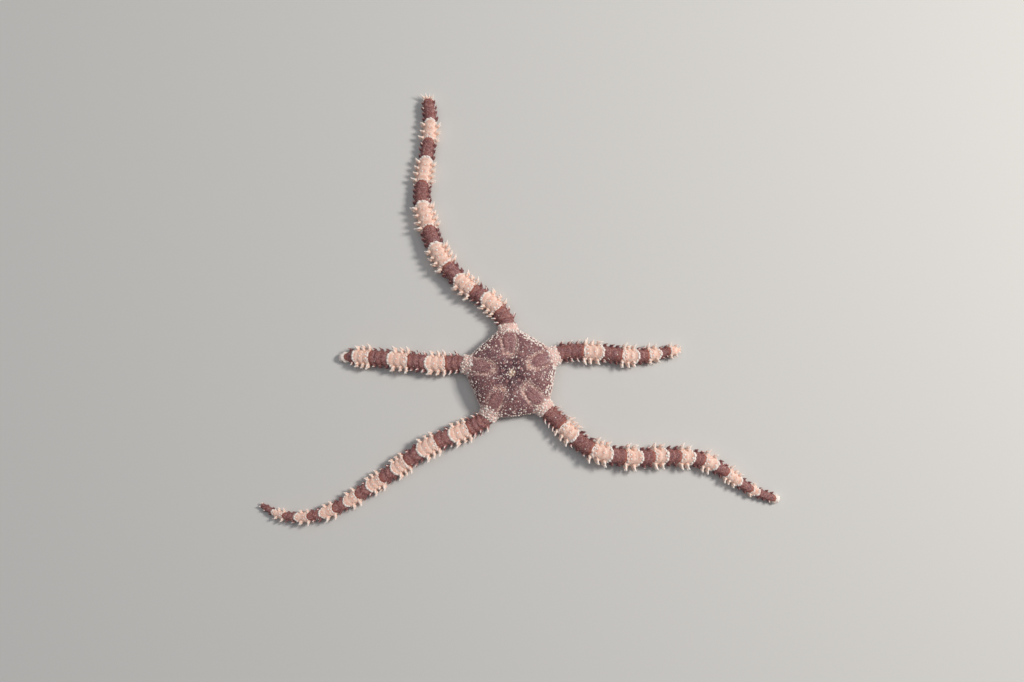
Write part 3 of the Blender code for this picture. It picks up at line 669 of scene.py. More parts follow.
def arm_beads(name, arm, draw):
    """Domes along the surface's normal, (sin, cos) of theta. Knobs lean out along the arm as well."""
    number, u, theta, kind = bead_places(arm)
    varied = draw.normal(0, 1, (3, len(kind)))
    loose = BEAD_LOOSENESS[kind]
    theta = theta + 0.03 * varied[0] * loose
    q = np.clip(joint_place(number, u + 0.015 * varied[1] * loose, theta), 0, arm["numbers"][-1] - 0.1)
    s = distance_of(arm, q)
    size = 0.35 + 0.65 * width_at(arm, s) / FULL_WIDTH
    _, along, right, up = frames(arm, s)
    normal = right * np.sin(theta)[:, None] + up * np.cos(theta)[:, None] + along * BEAD_LEANS[kind][:, None]
    radius = BEAD_RADII[kind] * size * (1 + 0.14 * varied[2])
    length = BEAD_LENGTHS[kind] * size * (1 + 0.14 * varied[1])
    roots = arm_surface(arm, q, theta)[0] - unit(normal) * (0.3 * length * (kind >= KNOB))[:, None]
    pale = (band_share(arm, number + 0.5) >= 0) | (kind >= KNOB)
    chance = draw.random(len(kind))
    tone = np.where(chance < 0.05, 0.85, 0.4 * chance)
    tone = np.where(kind >= DOT, 1.0, tone) - 0.4 * (kind == SCALE) - 0.35 * chance * (kind == INNER_KNOB)
    keep = (s > ARM_ROOT + 0.5) & (s < arm["length"] - 0.4)
    placed = roots[keep], normal[keep], radius[keep], length[keep]
    on_map = on_arm_map(arm, s[keep], theta[keep])
    masks = {"pale": pale[keep], "tone": tone[keep]}
    return make_copies(f"{name}_beads", DOME, placed, on_map, masks)


bead_pieces = [
    arm_beads(name, arm, np.random.default_rng(SEED_BEADS + i)) for i, (name, arm) in enumerate(ARMS.items())
]

# %% [markdown]
# ## Disc skin
# The disc is a puffy pentagon with its corners on the arms. At each corner its skin reaches out over the
# root of the arm like a sleeve. Its back is a height over a polar grid: the dome and the sleeves joined
# by a smooth maximum, so that no crease shows. Beneath, the skin is level from the rim to the mouth, a
# round recess.

# %% The surface of the disc
APOTHEM = 9.1
CORNER_SOFTNESS = 0.94
CROWN = 5.0
RIM = 2.2
SLEEVE_RIM_DROP = 0.9
BELLY = 0.45
BELLY_FULLNESS = 5
DOME_FULLNESS = 3.2
LOBE_SWELL = 0.35
SLEEVE_END = 11.45
SLEEVE_HALF = 2.2
SLEEVE_TOP = 3.25
MOUTH_RADIUS = 3.0
MOUTH_TOP = 1.55
MOUTH_WALL = np.array([(1.0, 0.62), (0.99, 0.95), (0.97, 1.25), (0.9, 1.45), (0.7, 1.52), (0.4, MOUTH_TOP)])
DISC_COLUMNS = 360
BACK_ROWS = 106
BELLY_ROWS = 90
PETAL_MIDDLE = 6.95
PETAL_HALF = (2.65, 1.62)


def edge_angle(phi):
    """The angle from the middle of an edge, with the edges stretched to 72 degrees each."""
    corners = np.append(ARM_ANGLES, ARM_ANGLES[0] + 360)
    turned = (phi - corners[0]) % 360 + corners[0]
    return (np.interp(turned, corners, range(6)) % 1 - 0.5) * 72


def from_arm(phi):
    """The signed angle from the nearest arm."""
    apart = (phi[..., None] - ARM_ANGLES + 180) % 360 - 180
    return np.take_along_axis(apart, np.abs(apart).argmin(-1)[..., None], -1)[..., 0]


def by_arm(phi, r):
    """Place along and across the nearest arm: r cos and |r sin| of the angle from it."""
    apart = np.radians(from_arm(phi))
    return r * np.cos(apart), np.abs(r * np.sin(apart))


def outlines(phi):
    """The pentagon's radius, apothem / cos^0.94 of the edge angle, and the disc's: the larger of that and
    the sleeve's, whose end is at SLEEVE_END and whose sides are SLEEVE_HALF / sin of the angle from the
    arm."""
    pentagon = APOTHEM / np.cos(np.radians(edge_angle(phi))) ** CORNER_SOFTNESS
    aside = np.maximum(np.sin(np.radians(np.abs(from_arm(phi)))), 0.02)
    sleeve = (SLEEVE_END**-12.0 + (SLEEVE_HALF / aside) ** -12.0) ** (-1 / 12)
    return pentagon, (pentagon**40 + sleeve**40) ** (1 / 40)


def rim_height(phi):
    """RIM, and SLEEVE_RIM_DROP less where a sleeve reaches past the pentagon."""
    pentagon, disc = outlines(phi)
    return RIM - SLEEVE_RIM_DROP * ease(disc - pentagon, 0.02, 0.35)


def disc_back(phi, share):
    """The point of the back at a share of the way out at angle phi. Its height is the smooth maximum of
    the dome, RIM + (CROWN - RIM) sqrt(1 - t^3.2) with a lobe between the arms, and an arch across each
    arm."""
    phi, share = np.broadcast_arrays(np.asarray(phi, float), share)
    pentagon, disc = outlines(phi)
    r = share * disc
    t = np.clip(r / pentagon, 0, 1)
    lobe = LOBE_SWELL * np.cos(np.radians(5 * edge_angle(phi))) * np.sin(math.pi * t**1.5)
    dome = RIM + (CROWN - RIM) * np.sqrt(1 - t**DOME_FULLNESS) + lobe - 3 * np.maximum(r - pentagon, 0)
    x, y = by_arm(phi, r)
    arch = SLEEVE_TOP * np.clip(1 - (y / (SLEEVE_HALF + 0.1)) ** 3, 0, 1) ** (1 / 3) * ease(x, 6.5, 9.0)
    top = np.log(np.exp(5 * dome) + np.exp(5 * arch)) / 5
    crease = 0.2 * bell(y, 0.36 + 0.17 * x, 0.28) * ease(x, 3.6, 5.0) * (1 - ease(x, 8.6, 10.2))
    rim = rim_height(phi)
    z = rim + (top - crease - rim) * np.sqrt(1 - np.clip(share, 0, 1) ** 30)
    return heading(phi) * r[..., None] + z[..., None] * UP


def disc_belly(phi, share):
    """The point of the belly: rim - (rim - BELLY) sqrt(1 - share^5), with a slit beside each arm."""
    phi, share = np.broadcast_arrays(np.asarray(phi, float), share)
    r = share * outlines(phi)[1]
    rim = rim_height(phi)
    x, y = by_arm(phi, r)
    slit = 0.45 * bell(y, 0.75 + 0.17 * x, 0.16) * ease(x, 4.3, 5.0) * (1 - ease(x, 7.9, 8.8))
    z = rim - (rim - BELLY) * np.sqrt(1 - np.clip(share, 0, 1) ** BELLY_FULLNESS) + slit
    return heading(phi) * r[..., None] + z[..., None] * UP


def petal_marks(x, y):
    """How far out a point is in the petal, as an ellipse's radius, and the strength of the petal's
    outline, bell(petal, 1.05, 0.2): broader and stronger round the petal's inner end, and weak at its
    outer end."""
    petal = np.hypot((x - PETAL_MIDDLE) / PETAL_HALF[0], y / PETAL_HALF[1])
    inner = ease(PETAL_MIDDLE - x, 0.6, 2.4)
    strength = (0.72 + 0.25 * inner) * (1 - 0.7 * ease(x, 8.4, 9.4))
    return petal, bell(petal, 1.05 + 0.08 * inner, 0.2 + 0.06 * inner) * strength


def disc_skin():
    """Back, belly and wall of the mouth as one closed grid. A mask is (first end, grid, last end)."""
    phi = np.linspace(0, 360, DISC_COLUMNS, endpoint=False)
    disc = outlines(phi)[1]
    back = disc_back(phi, np.sin(np.linspace(0, math.pi / 2, BACK_ROWS))[1:, None])
    inner = MOUTH_RADIUS / disc
    home = np.sin(np.linspace(math.pi / 2, 0, BELLY_ROWS))[1:, None]
    belly = disc_belly(phi, inner + (1 - inner) * home)
    mouth = heading(phi) * MOUTH_RADIUS * MOUTH_WALL[:, :1, None] + MOUTH_WALL[:, 1:, None] * UP
    grid = np.concatenate([back, belly, mouth])
    r = np.linalg.norm(grid[..., :2], axis=-1)
    x, y = by_arm(np.broadcast_to(phi, r.shape), r)
    above = (np.arange(len(grid)) < len(back))[:, None] + 0.0 * r
    masks = {
        "outline": (0, petal_marks(x, y)[1] * above, 0),
        "heart": (1, (1 - ease(r, 2.0, 4.4)) * above, 0),
        "sleeve": (0, ease(x, 8.5, 9.9) * (1 - ease(y, 2.3, 3.0)) * above, 0),
        "belly": (0, (1 - above) * (1 - ease(r / disc, 0.9, 0.985)), 1),
        "centre": (1, (1 - ease(r, 0.3, 1.1)) * above, 0),
        "mouth": (0, (r < MOUTH_RADIUS - 0.05) * (1 - above), 1),
    }
    masks = {mask: globe_values(*values) for mask, values in masks.items()}
    points = globe(CROWN * UP, grid, MOUTH_TOP * UP)
    piece = make_piece("disc_skin", points, globe_faces(*r.shape), masks, flip=True)
    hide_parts("disc")
    return piece


disc = disc_skin()

# %% [markdown]
# ## Bare plates of the disc
# Over the root of each arm lies a pair of long plates, the radial shields. Skin with grains surrounds
# them, but they are bare, and together they look like a dark petal. Smaller round plates lie at the
# middle of the disc and between the arms. A plate is a low lens whose points are moved onto the slope of
# the disc, and then lifted.

# %% Shields and round plates
SHIELD_MIDDLE = 6.85
SHIELD_HALF = (2.0, 0.66)
SHIELD_ASIDE = 0.56
SHIELD_NARROWING = 0.12
SHIELD_THICKNESS = 0.11
ROUND_THICKNESS = 0.06
# Round plates: distance from the middle, whether they lie between the arms, and half their width.
ROUND_PLATES = ((2.15, False, 0.36), (2.7, True, 0.3), (4.5, True, 0.42), (6.4, True, 0.36))


def lens_form(rows, columns, depth):
    """A flat round as a closed grid (a, b), and its lift: sqrt(1 - v^4) at v from the middle above, and
    -depth times that below."""
    v = np.sin(np.linspace(0, math.pi / 2, rows))[1:]
    v = np.append(v, v[-2::-1])
    middle = np.zeros(2)
    flat = v[:, None, None] * heading(np.linspace(0, 360, columns, endpoint=False))[:, :2]
    lift = np.sqrt(1 - v**4) * np.repeat((1, -depth), (rows - 1, rows - 2))
    return {
        "flat": globe(middle, flat, middle),
        "lift": globe_values(1, np.repeat(lift, columns), -depth),
        "faces": globe_faces(len(v), columns),
    }


def spread_lenses(form, middles, halves, turns, narrowing):
    """middle + ahead * a half_a + aside * b half_b (1 + narrowing a), so that narrowing draws in one end."""
    a, b = form["flat"].T
    along = (a * halves[:, :1])[..., None] * heading(turns)[:, None]
    across = (b * halves[:, 1:] * (1 + narrowing * a))[..., None] * heading(turns + 90)[:, None]
    return middles[:, None] + along + across


def lay_plates(name, middles, halves, turns, thickness, narrowing=0.0):
    """Lenses on the back: each point is moved straight up to the back, and lifted by thickness * lift."""
    form = lens_form(14, 40, 0.6)
    ground = spread_lenses(form, middles, halves, turns, narrowing)
    phi = np.degrees(np.arctan2(ground[..., 1], ground[..., 0]))
    points = disc_back(phi, np.hypot(ground[..., 0], ground[..., 1]) / outlines(phi)[1])
    points[..., 2] += form["lift"] * thickness
    tone = np.random.default_rng(SEED).random(len(middles))
    masks = {
        "edge": np.tile(np.hypot(*form["flat"].T), len(middles)),
        "tone": np.repeat(tone, len(form["flat"])),
    }
    return make_piece(name, points, form["faces"], masks)


pairs = np.repeat(ARM_ANGLES, 2)
hands = np.tile((-SHIELD_ASIDE, SHIELD_ASIDE), 5)[:, None]
shields = lay_plates(
    "radial_shields", heading(pairs) * SHIELD_MIDDLE + heading(pairs + 90) * hands,
    np.tile(SHIELD_HALF, (10, 1)), pairs, SHIELD_THICKNESS, SHIELD_NARROWING,
)
round_middles = np.concatenate(
    [heading(EDGE_MIDDLES if between else ARM_ANGLES) * out for out, between, _ in ROUND_PLATES]
)
round_halves = np.repeat([half for _, _, half in ROUND_PLATES], 5)
round_plates = lay_plates(
    "round_plates", round_middles, np.stack([round_halves] * 2, -1), 0 * round_halves, ROUND_THICKNESS
)

# %% [markdown]
# ## Grains of the disc
# Grains cover the skin between the bare plates. Most are small and as dark as the skin. Larger ones are
# white or pink: they are scattered on the back, outline each petal, and crowd on the sleeves and along
# the rim, where they are taller stubs. A sunflower spiral, with the golden angle from each point to the
# next, spreads points evenly over a round field, and a seeded draw moves each a little, so that no rows
# show.

# %% Grains
GOLDEN = 137.50776
CENTRE_TURNS = (20.0, 95, 160, 235, 300, 0, 128, 250, 205)
CENTRE_SHARES = (0.04, 0.06, 0.035, 0.07, 0.045, 0.0, 0.11, 0.115, 0.1)
CENTRE_RADII = (0.3, 0.22, 0.32, 0.3, 0.22, 0.28, 0.28, 0.22, 0.2)
WHITE_COUNT, GROUND_COUNT, BELLY_COUNT = 1500, 5200, 2600
SEED_WHITE, SEED_GROUND, SEED_RIM, SEED_BELLY, SEED_SIDE = (SEED + more for more in (40, 50, 60, 70, 80))


def sunflower(count, draw, loose):
    """Point i is at share sqrt((i + 0.5) / count) and angle i * GOLDEN, moved by a draw of size loose."""
    i = np.arange(count)
    share = np.sqrt((i + 0.5) / count) + draw.normal(0, loose / 10, count)
    phi = i * GOLDEN + draw.normal(0, 1, count) * np.degrees(loose / 10) / np.maximum(share, 0.1)
    return phi % 360, np.clip(np.abs(share), 0, 0.985)


def back_normals(phi, share):
    """Points of the back, and unit(step outwards x step round), which beyond 0.95 stays as it is there."""
    level = np.minimum(share, 0.95)
    here = disc_back(phi, level)
    outwards = here - disc_back(phi, level - 0.01)
    around = disc_back(phi + 0.3, level) - here
    return disc_back(phi, share), unit(np.cross(outwards, around))


def zones(phi, share):
    """Place along and across the nearest arm, the petal's outline, and whether a bare plate is here."""
    r = share * outlines(phi)[1]
    x, y = by_arm(phi, r)
    out = (x - SHIELD_MIDDLE) / SHIELD_HALF[0]
    shield = np.hypot(out, (y - SHIELD_ASIDE) / SHIELD_HALF[1] / (1 + SHIELD_NARROWING * out)) < 1.02
    here = heading(phi) * r[:, None]
    gaps = np.linalg.norm(here[:, None] - round_middles, axis=-1) / round_halves
    return x, y, petal_marks(x, y)[1], shield | (gaps.min(1) < 0.98)


def disc_grains(name, form, phi, share, placed, tone):
    """Copies on the disc. Its bake map is the disc from above: 0.5 + 0.47 share (cos, sin) of phi."""
    x, y, _ = heading(phi).T * share
    return make_copies(name, form, placed, (0.5 + 0.47 * x, 0.5 + 0.47 * y), {"tone": tone})


def back_grains(name, form, phi, share, radius, length, tone, tilt=0.0):
    """Copies of a form on the back. tilt leans each from the skin's normal towards its outward direction."""
    roots, normal = back_normals(phi, share)
    direction = unit(normal + heading(phi) * np.broadcast_to(tilt, len(phi))[:, None])
    roots = roots - direction * (0.03 + 0.3 * np.maximum(radius - 0.15, 0))[:, None]
    flat = 0.78 + 0.22 * np.sin(7.0 * phi)
    return disc_grains(name, form, phi, share, (roots, direction, radius, length, flat), tone)


def by_zone(sleeve, outline, bare, *values):
    """The first value on a sleeve, the second on an outline, the third on a bare plate, else the last."""
    return np.select((sleeve, outline, bare), values[:3], values[3])


def scattered_grains():
    """White and pink grains: small ones everywhere, some large ones between the petals, small ones on the
    bare plates, lumps at the centre and lumps on the sleeves. Also gives where they are."""
    draw = np.random.default_rng(SEED_WHITE)
    phi, share = sunflower(WHITE_COUNT, draw, 0.18)
    x, y, outline, bare = zones(phi, share)
    zone = (x > 8.8) & (y < 2.5), outline > 0.25, bare
    patchy = 0.5 + 0.5 * np.sin(2.1 * x + 3.7 * y + phi / 20)
    large = (draw.random(len(phi)) < 0.16) & ~zone[1] & ~zone[0]
    heart = 0.14 * bell(share, 0.25, 0.15) - 0.1 * bell(share, 0.6, 0.15)
    chance = by_zone(*zone, 0.85, 0.35 + 0.5 * patchy, 0.55, 0.28 + heart)
    pick = (draw.random(len(phi)) < chance) & (share < 0.92)
    radius = np.where(large, 0.25, by_zone(*zone, 0.28, 0.17, 0.12, 0.12))
    radius = np.where(bare & ~zone[1], 0.085, radius) + draw.uniform(-0.025, 0.06, len(phi))
    tone = by_zone(*zone, 0.9, 0.66, 0.5, 0.87) + draw.uniform(-0.25, 0.16, len(phi))
    phi, share = np.append(phi[pick], CENTRE_TURNS), np.append(share[pick], CENTRE_SHARES)
    radius = np.append(radius[pick], CENTRE_RADII)
    tone = np.clip(np.append(tone[pick], np.full(len(CENTRE_TURNS), 0.8)), 0, 1)
    made = back_grains("white_grains", DOME, phi, share, radius, radius * 0.85, tone)
    return made, phi, share, radius


def ground_grains(white_phi, white_share, white_radius):
    """Small grains that fill the skin between the others, pink on the outlines and the sleeves."""
    draw = np.random.default_rng(SEED_GROUND)
    phi, share = sunflower(GROUND_COUNT, draw, 0.05)
    x, y, outline, bare = zones(phi, share)
    patchy = 0.5 + 0.5 * np.sin(1.7 * x - 2.9 * y + phi / 14)
    outline = outline * (0.4 + 0.8 * patchy) * draw.uniform(0.1, 1.5, len(phi))
    sleeve = ease(x, 8.5, 9.8) * (y < 2.6)
    between = disc_back(phi, share)[:, None] - disc_back(white_phi, white_share)
    clear = (np.linalg.norm(between, axis=-1) - white_radius).min(1) > 0.06
    pick = (~bare | (draw.random(len(phi)) < 0.45)) & clear
    radius = np.where(bare, 0.06, 0.105) + 0.03 * draw.random(len(phi)) + 0.03 * sleeve
    tone = 0.1 * ease(np.hypot(x, y), 2.2, 4.6) + 0.22 * draw.random(len(phi)) ** 2
    tone = tone + (0.6 * np.maximum(outline, sleeve) + 0.15 * sleeve) * draw.uniform(0.5, 1.0, len(phi))
    tone = np.where(draw.random(len(phi)) < 0.07, 0.62, tone + 0.12 * bare)
    phi, share, radius, tone = phi[pick], share[pick], radius[pick], tone[pick]
    return back_grains("ground_grains", SMALL_DOME, phi, share, radius, radius, tone)


# A row of lumps: how many, how far round they reach in degrees, their share of the way out, length, lean,
# radius and the chance that each is there. On the edges of less strength they are smaller and fewer, and
# less white: that lower whiteness is painted shade on the south and south-west edges.
RIM_ROWS = (
    (16, 24.0, 0.988, 0.38, 0.9, 0.3, 1.0), (15, 23.5, 0.944, 0.34, 0.5, 0.32, 0.97),
    (13, 21.5, 0.9, 0.27, 0.25, 0.27, 0.6), (11, 18.0, 0.865, 0.22, 0.1, 0.22, 0.35),
)
SLEEVE_ROWS = ((8, 9.6, 0.985, 0.36, 0.9, 0.27, 1.0), (7, 10.5, 0.95, 0.32, 0.4, 0.25, 0.9))
EDGE_FULLNESS_AND_LIGHT = (1.0, 0.85, 0.4, 0.4, 0.95)


def rim_lumps():
    """Rows of lumps along each edge between two arms, and round the end of each sleeve."""
    draw = np.random.default_rng(SEED_RIM)
    edges = list(zip(EDGE_MIDDLES, EDGE_FULLNESS_AND_LIGHT))
    rows = [(middle, *row, strength) for row in RIM_ROWS for middle, strength in edges]
    rows += [(angle, *row, 1.0) for row in SLEEVE_ROWS for angle in ARM_ANGLES]
    phi = np.concatenate([middle + np.linspace(-reach, reach, count) for middle, count, reach, *_ in rows])
    share, length, tilt, radius, chance, strength = np.repeat(rows, [row[1] for row in rows], axis=0).T[3:]
    varied = draw.normal(0, 1, (5, len(phi)))
    phi = phi + 0.7 * varied[0]
    share = np.clip(share + 0.009 * varied[1], 0, 0.992)
    stout = 0.62 + 0.38 * strength
    length = length * stout * (0.92 + 0.15 * varied[2])
    radius = radius * stout * (1.04 + 0.16 * varied[4])
    # Less white on the edges of less strength: painted shade.
    tone = np.clip(0.68 + 0.22 * strength - 2.5 * np.maximum(0.93 - share, 0) + 0.13 * varied[3], 0, 1)
    pick = draw.random(len(phi)) < chance + 0.25 * (strength - 1)
    return back_grains("rim_lumps", DOME, *(v[pick] for v in (phi, share, radius, length, tone, tilt)))


white_grains, *white_places = scattered_grains()
dark_grains = ground_grains(*white_places)
lumps = rim_lumps()

# %% [markdown]
# ## The mouth side
# Five jaws point at the middle of the mouth, one between each two arms. Each is a wedge with a row of
# small teeth, the oral papillae, along both its sides. Behind each lies an oral shield, a rounded plate.
# Grains cover the skin between, and the side of the disc. The animal lies on this side, so nothing
# reaches lower than the arms do.

# %% Jaws, oral shields and belly grains
JAW_LOW = 0.25
JAW_HIGH = 1.2
JAW_FIRST = 0.55
JAW_LONG = 2.15
JAW_SPREAD = 0.42
ORAL_SHIELD_OUT = 4.55
# Belly plates: turn from the jaw, distance from the middle, half length and half width, turn of the
# plate.
BELLY_PLATES = (
    (0, ORAL_SHIELD_OUT, (0.95, 1.05), 0), (-17, 3.62, (0.95, 0.38), -62), (17, 3.62, (0.95, 0.38), 62),
)
PAPILLA_PLACES = np.array([JAW_FIRST, 0.9, 1.35, 1.8, 2.25, 0.9, 1.35, 1.8, 2.25])
PAPILLA_HANDS = np.array([0.0, -1, -1, -1, -1, 1, 1, 1, 1])
SIDE_SHARES = np.array((0.925, 0.955, 0.976, 0.989, 0.997))
SIDE_COUNT = 200


def make_jaw(number, turn):
    """A wedge towards the middle: half width 0.2 + 0.42 (x - 0.5), section a superellipse of power 3."""
    ahead, aside = heading(turn), heading(turn + 90)
    x = JAW_FIRST + JAW_LONG * np.linspace(0, 1, 26)[:, None]
    around = np.linspace(0, 2 * math.pi, 28, endpoint=False)
    half = 0.2 + JAW_SPREAD * (x - 0.5)
    blunt = 1 - np.minimum(1, (x - JAW_FIRST) / 0.3)
    close = np.minimum(1, np.sqrt(np.clip(1 - blunt**2, 0, 1)) + 0.05)
    side, tall = bent(np.cos(around), 2 / 3), bent(np.sin(around), 2 / 3)
    middle = (JAW_LOW + JAW_HIGH) / 2
    z = middle + (JAW_HIGH - JAW_LOW) / 2 * tall * close + 0.12 * bell(side, 0, 0.25) * (tall < 0)
    grid = ahead * x[..., None] + aside * (side * half * close)[..., None] + z[..., None] * UP
    first = ahead * (JAW_FIRST - 0.03) + middle * UP
    last = ahead * (JAW_FIRST + JAW_LONG + 0.02) + middle * UP
    points, faces = globe(first, grid, last), globe_faces(*z.shape)
    piece = make_piece(f"jaw_{number}_wedge", points, faces, {"edge": 0.5}, flip=True)
    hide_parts(f"jaw_{number}")
    return piece


def make_papillae():
    """Four blunt teeth along each side of each jaw, and one at its tip."""
    ahead, aside = heading(EDGE_MIDDLES)[:, None], heading(EDGE_MIDDLES + 90)[:, None]
    x, hand = PAPILLA_PLACES[:, None], PAPILLA_HANDS[:, None]
    roots = ahead * x + aside * hand * (0.12 + JAW_SPREAD * (x - 0.5)) + 0.42 * UP
    direction = aside * hand - ahead * np.where(hand == 0, 1.0, 0.35) - 0.25 * UP
    points = set_copies(SPINE, roots.reshape(-1, 3), direction.reshape(-1, 3), 0.13, 0.38, 1.3)
    return make_piece("oral_papillae", points, SPINE["faces"], {"edge": 0.9})


def belly_plates():
    """Lenses on the belly: an oral shield behind each jaw with a pair of narrow plates at its sides."""
    form = lens_form(10, 32, 1)
    middles = np.concatenate([heading(EDGE_MIDDLES + turn) * out for turn, out, _, _ in BELLY_PLATES])
    turns = np.concatenate([EDGE_MIDDLES + turned for *_, turned in BELLY_PLATES])
    halves = np.repeat([half for _, _, half, _ in BELLY_PLATES], 5, axis=0)
    points = spread_lenses(form, middles, halves, turns, -0.25)
    points[..., 2] = BELLY - 0.17 * form["lift"]
    edge = np.tile(np.hypot(*form["flat"].T), len(middles))
    return make_piece("oral_shields", points, form["faces"], {"edge": edge}, flip=True)


def belly_grains():
    """Grains that hang from the belly, clear of the mouth, the oral shields and the arms."""
    draw = np.random.default_rng(SEED_BELLY)
    phi, share = sunflower(BELLY_COUNT, draw, 0.06)
    x, y, _, _ = zones(phi, share)
    here = heading(phi) * (share * outlines(phi)[1])[:, None]
    shield = np.linalg.norm(here[:, None] - heading(EDGE_MIDDLES) * ORAL_SHIELD_OUT, axis=-1).min(1)
    pick = (y > 0.95 + 0.17 * x) & (np.hypot(x, y) > 3.6) & (shield > 1.15) & (share < 0.96)
    phi, share = phi[pick], share[pick]
    roots = disc_belly(phi, share)
    radius = 0.11 + 0.04 * draw.random(len(phi))
    tone = 0.35 + 0.45 * draw.random(len(phi))
    placed = roots, np.broadcast_to(-1.0 * UP, roots.shape), radius, 0.1
    return disc_grains("belly_grains", SMALL_DOME, phi, share, placed, tone)


def side_grains():
    """Rows of grains down the side of the disc, larger and whiter towards its rim. Each stands off the
    wall, whose slope is 0.46 share^4 / sqrt(1 - share^5), the belly's height differentiated."""
    draw = np.random.default_rng(SEED_SIDE)
    row, place = np.divmod(np.arange(len(SIDE_SHARES) * SIDE_COUNT), SIDE_COUNT)
    varied = draw.normal(0, 1, (3, len(row)))
    phi = (place + 0.5 * (row % 2) + 0.35 * varied[0]) * 360 / SIDE_COUNT
    share = SIDE_SHARES[row] + (1 - SIDE_SHARES[row]) * 0.16 * varied[1].clip(-2, 2)
    x, y, _, _ = zones(phi, share)
    pick = (x < 9.0) | (y > 2.0)
    phi, share, row, varied = phi[pick], share[pick], row[pick], varied[:, pick]
    slope = 0.46 * share**4 / np.sqrt(1 - share**BELLY_FULLNESS)
    direction = heading(phi) * slope[:, None] - UP
    roots = disc_belly(phi, share) - unit(direction) * 0.03
    radius = (0.12 + 0.014 * row) * (1 + 0.22 * varied[2])
    tone = (0.22 + 0.08 * row + 0.24 * varied[2]).clip(0, 0.9)
    return disc_grains("side_grains", SMALL_DOME, phi, share, (roots, direction, radius, radius), tone)


jaws = [make_jaw(number, middle) for number, middle in enumerate(EDGE_MIDDLES, 1)]
papillae = make_papillae()
oral_plates = belly_plates()
under_grains = belly_grains()
wall_grains = side_grains()

# %% [markdown]
# ## Finishes
# The skin is damp and a little translucent, so each finish has some subsurface light and a moderate
# gloss. Colour comes from the masks that were written on the points: which joint is pale, how far a point
# is from the middle of its plate, how high it is on a spine. Noise on Object coordinates, a few tenths of
# a millimetre across, breaks it up, and a finer noise gives the bump of wet skin. All the pieces of an
# arm share the same colours, so spines and beads have the bands of the skin that they stand on.

# %% A small set of node helpers
def srgb(red, green, blue):
    """A display colour from 0 to 255 as the linear colour that nodes use."""
    c = np.array([red, green, blue]) / 255
    linear = np.where(c <= 0.04045, c / 12.92, ((c + 0.055) / 1.055) ** 2.4)
    return (*(float(v) for v in linear), 1.0)


class Finish:
    """A Principled material, with short calls for the nodes that feed it."""

    def __init__(self, name, roughness, subsurface):
        """Roughness and subsurface weight are the same all over, so they are set on the shader itself."""
        self.material = bpy.data.materials.new(name)
        self.material.use_nodes = True
        self.tree = self.material.node_tree
        self.shader = self.tree.nodes["Principled BSDF"]
        self.shader.inputs["Roughness"].default_value = roughness
        self.shader.inputs["Specular IOR Level"].default_value = 0.35
        self.shader.inputs["Subsurface Weight"].default_value = subsurface
        self.shader.inputs["Subsurface Radius"].default_value = (0.7, 0.45, 0.38)
        self.shader.inputs["Subsurface Scale"].default_value = 0.4 * MM
        self.places = self.tree.nodes.new("ShaderNodeTexCoord").outputs["Object"]

    def feed(self, socket, value):
        """Links another node's output to a socket, or sets it to a plain value."""
        if isinstance(value, bpy.types.NodeSocket):
            self.tree.links.new(value, socket)
        else:
            socket.default_value = value

    def node(self, kind, **inputs):
        """A new node, with its inputs fed by name."""
        made = self.tree.nodes.new(kind)
        for label, value in inputs.items():
            self.feed(made.inputs[label.replace("_", " ")], value)
        return made

    def mask(self, name):
        """A mask that was written on the points."""
        made = self.tree.nodes.new("ShaderNodeAttribute")
        made.attribute_name = name
        return made.outputs["Fac"]

    def ramp(self, value, stops):
        """value turned into a colour by stops of (value, colour) in rising order."""
        made = self.node("ShaderNodeValToRGB", Fac=value)
        elements = made.color_ramp.elements
        for position, _ in stops[2:]:
            elements.new(position)
        for element, (position, colour) in zip(elements, stops):
            element.position = position
            element.color = colour
        return made.outputs["Color"]

    def grey(self, value, low, high, end=1.0, start=0.0):
        """value, from low to high, as a number from start to end."""
        made = self.node(
            "ShaderNodeMapRange", Value=value, From_Min=low, From_Max=high, To_Min=start, To_Max=end
        )
        return made.outputs["Result"]

    def mix(self, share, first, second):
        """first (1 - share) + second share."""
        made = self.tree.nodes.new("ShaderNodeMix")
        made.data_type = "RGBA"
        for number, value in zip((0, 6, 7), (share, first, second)):
            self.feed(made.inputs[number], value)
        return made.outputs[2]

    def times(self, first, second):
        """first second."""
        made = self.tree.nodes.new("ShaderNodeMath")
        made.operation = "MULTIPLY"
        self.feed(made.inputs[0], first)
        self.feed(made.inputs[1], second)
        return made.outputs[0]

    def noise(self, size_mm, detail=3.0, rough=0.55):
        """Noise whose lumps are about size_mm across."""
        made = self.node(
            "ShaderNodeTexNoise", Vector=self.places, Scale=1 / (size_mm * MM), Detail=detail, Roughness=rough
        )
        return made.outputs["Fac"]

    def cells(self, size_mm):
        """The distance from the middle of the nearest cell."""
        made = self.node("ShaderNodeTexVoronoi", Vector=self.places, Scale=1 / (size_mm * MM))
        return made.outputs["Distance"]

    def colour(self, socket):
        """What the base colour is fed by."""
        self.feed(self.shader.inputs["Base Color"], socket)

    def bump(self, height, strength, depth_mm):
        """A bump of that height, at most depth_mm deep."""
        made = self.node("ShaderNodeBump", Height=height, Strength=strength, Distance=depth_mm * MM)
        self.feed(self.shader.inputs["Normal"], made.outputs["Normal"])


# %% [markdown]
# ### Colours
# They are named as they look under daylight. A dark band isn't one brown: it is maroon with purple and
# red in it. A pale band runs from peach at the middle of its plates to nearly white at their edges.

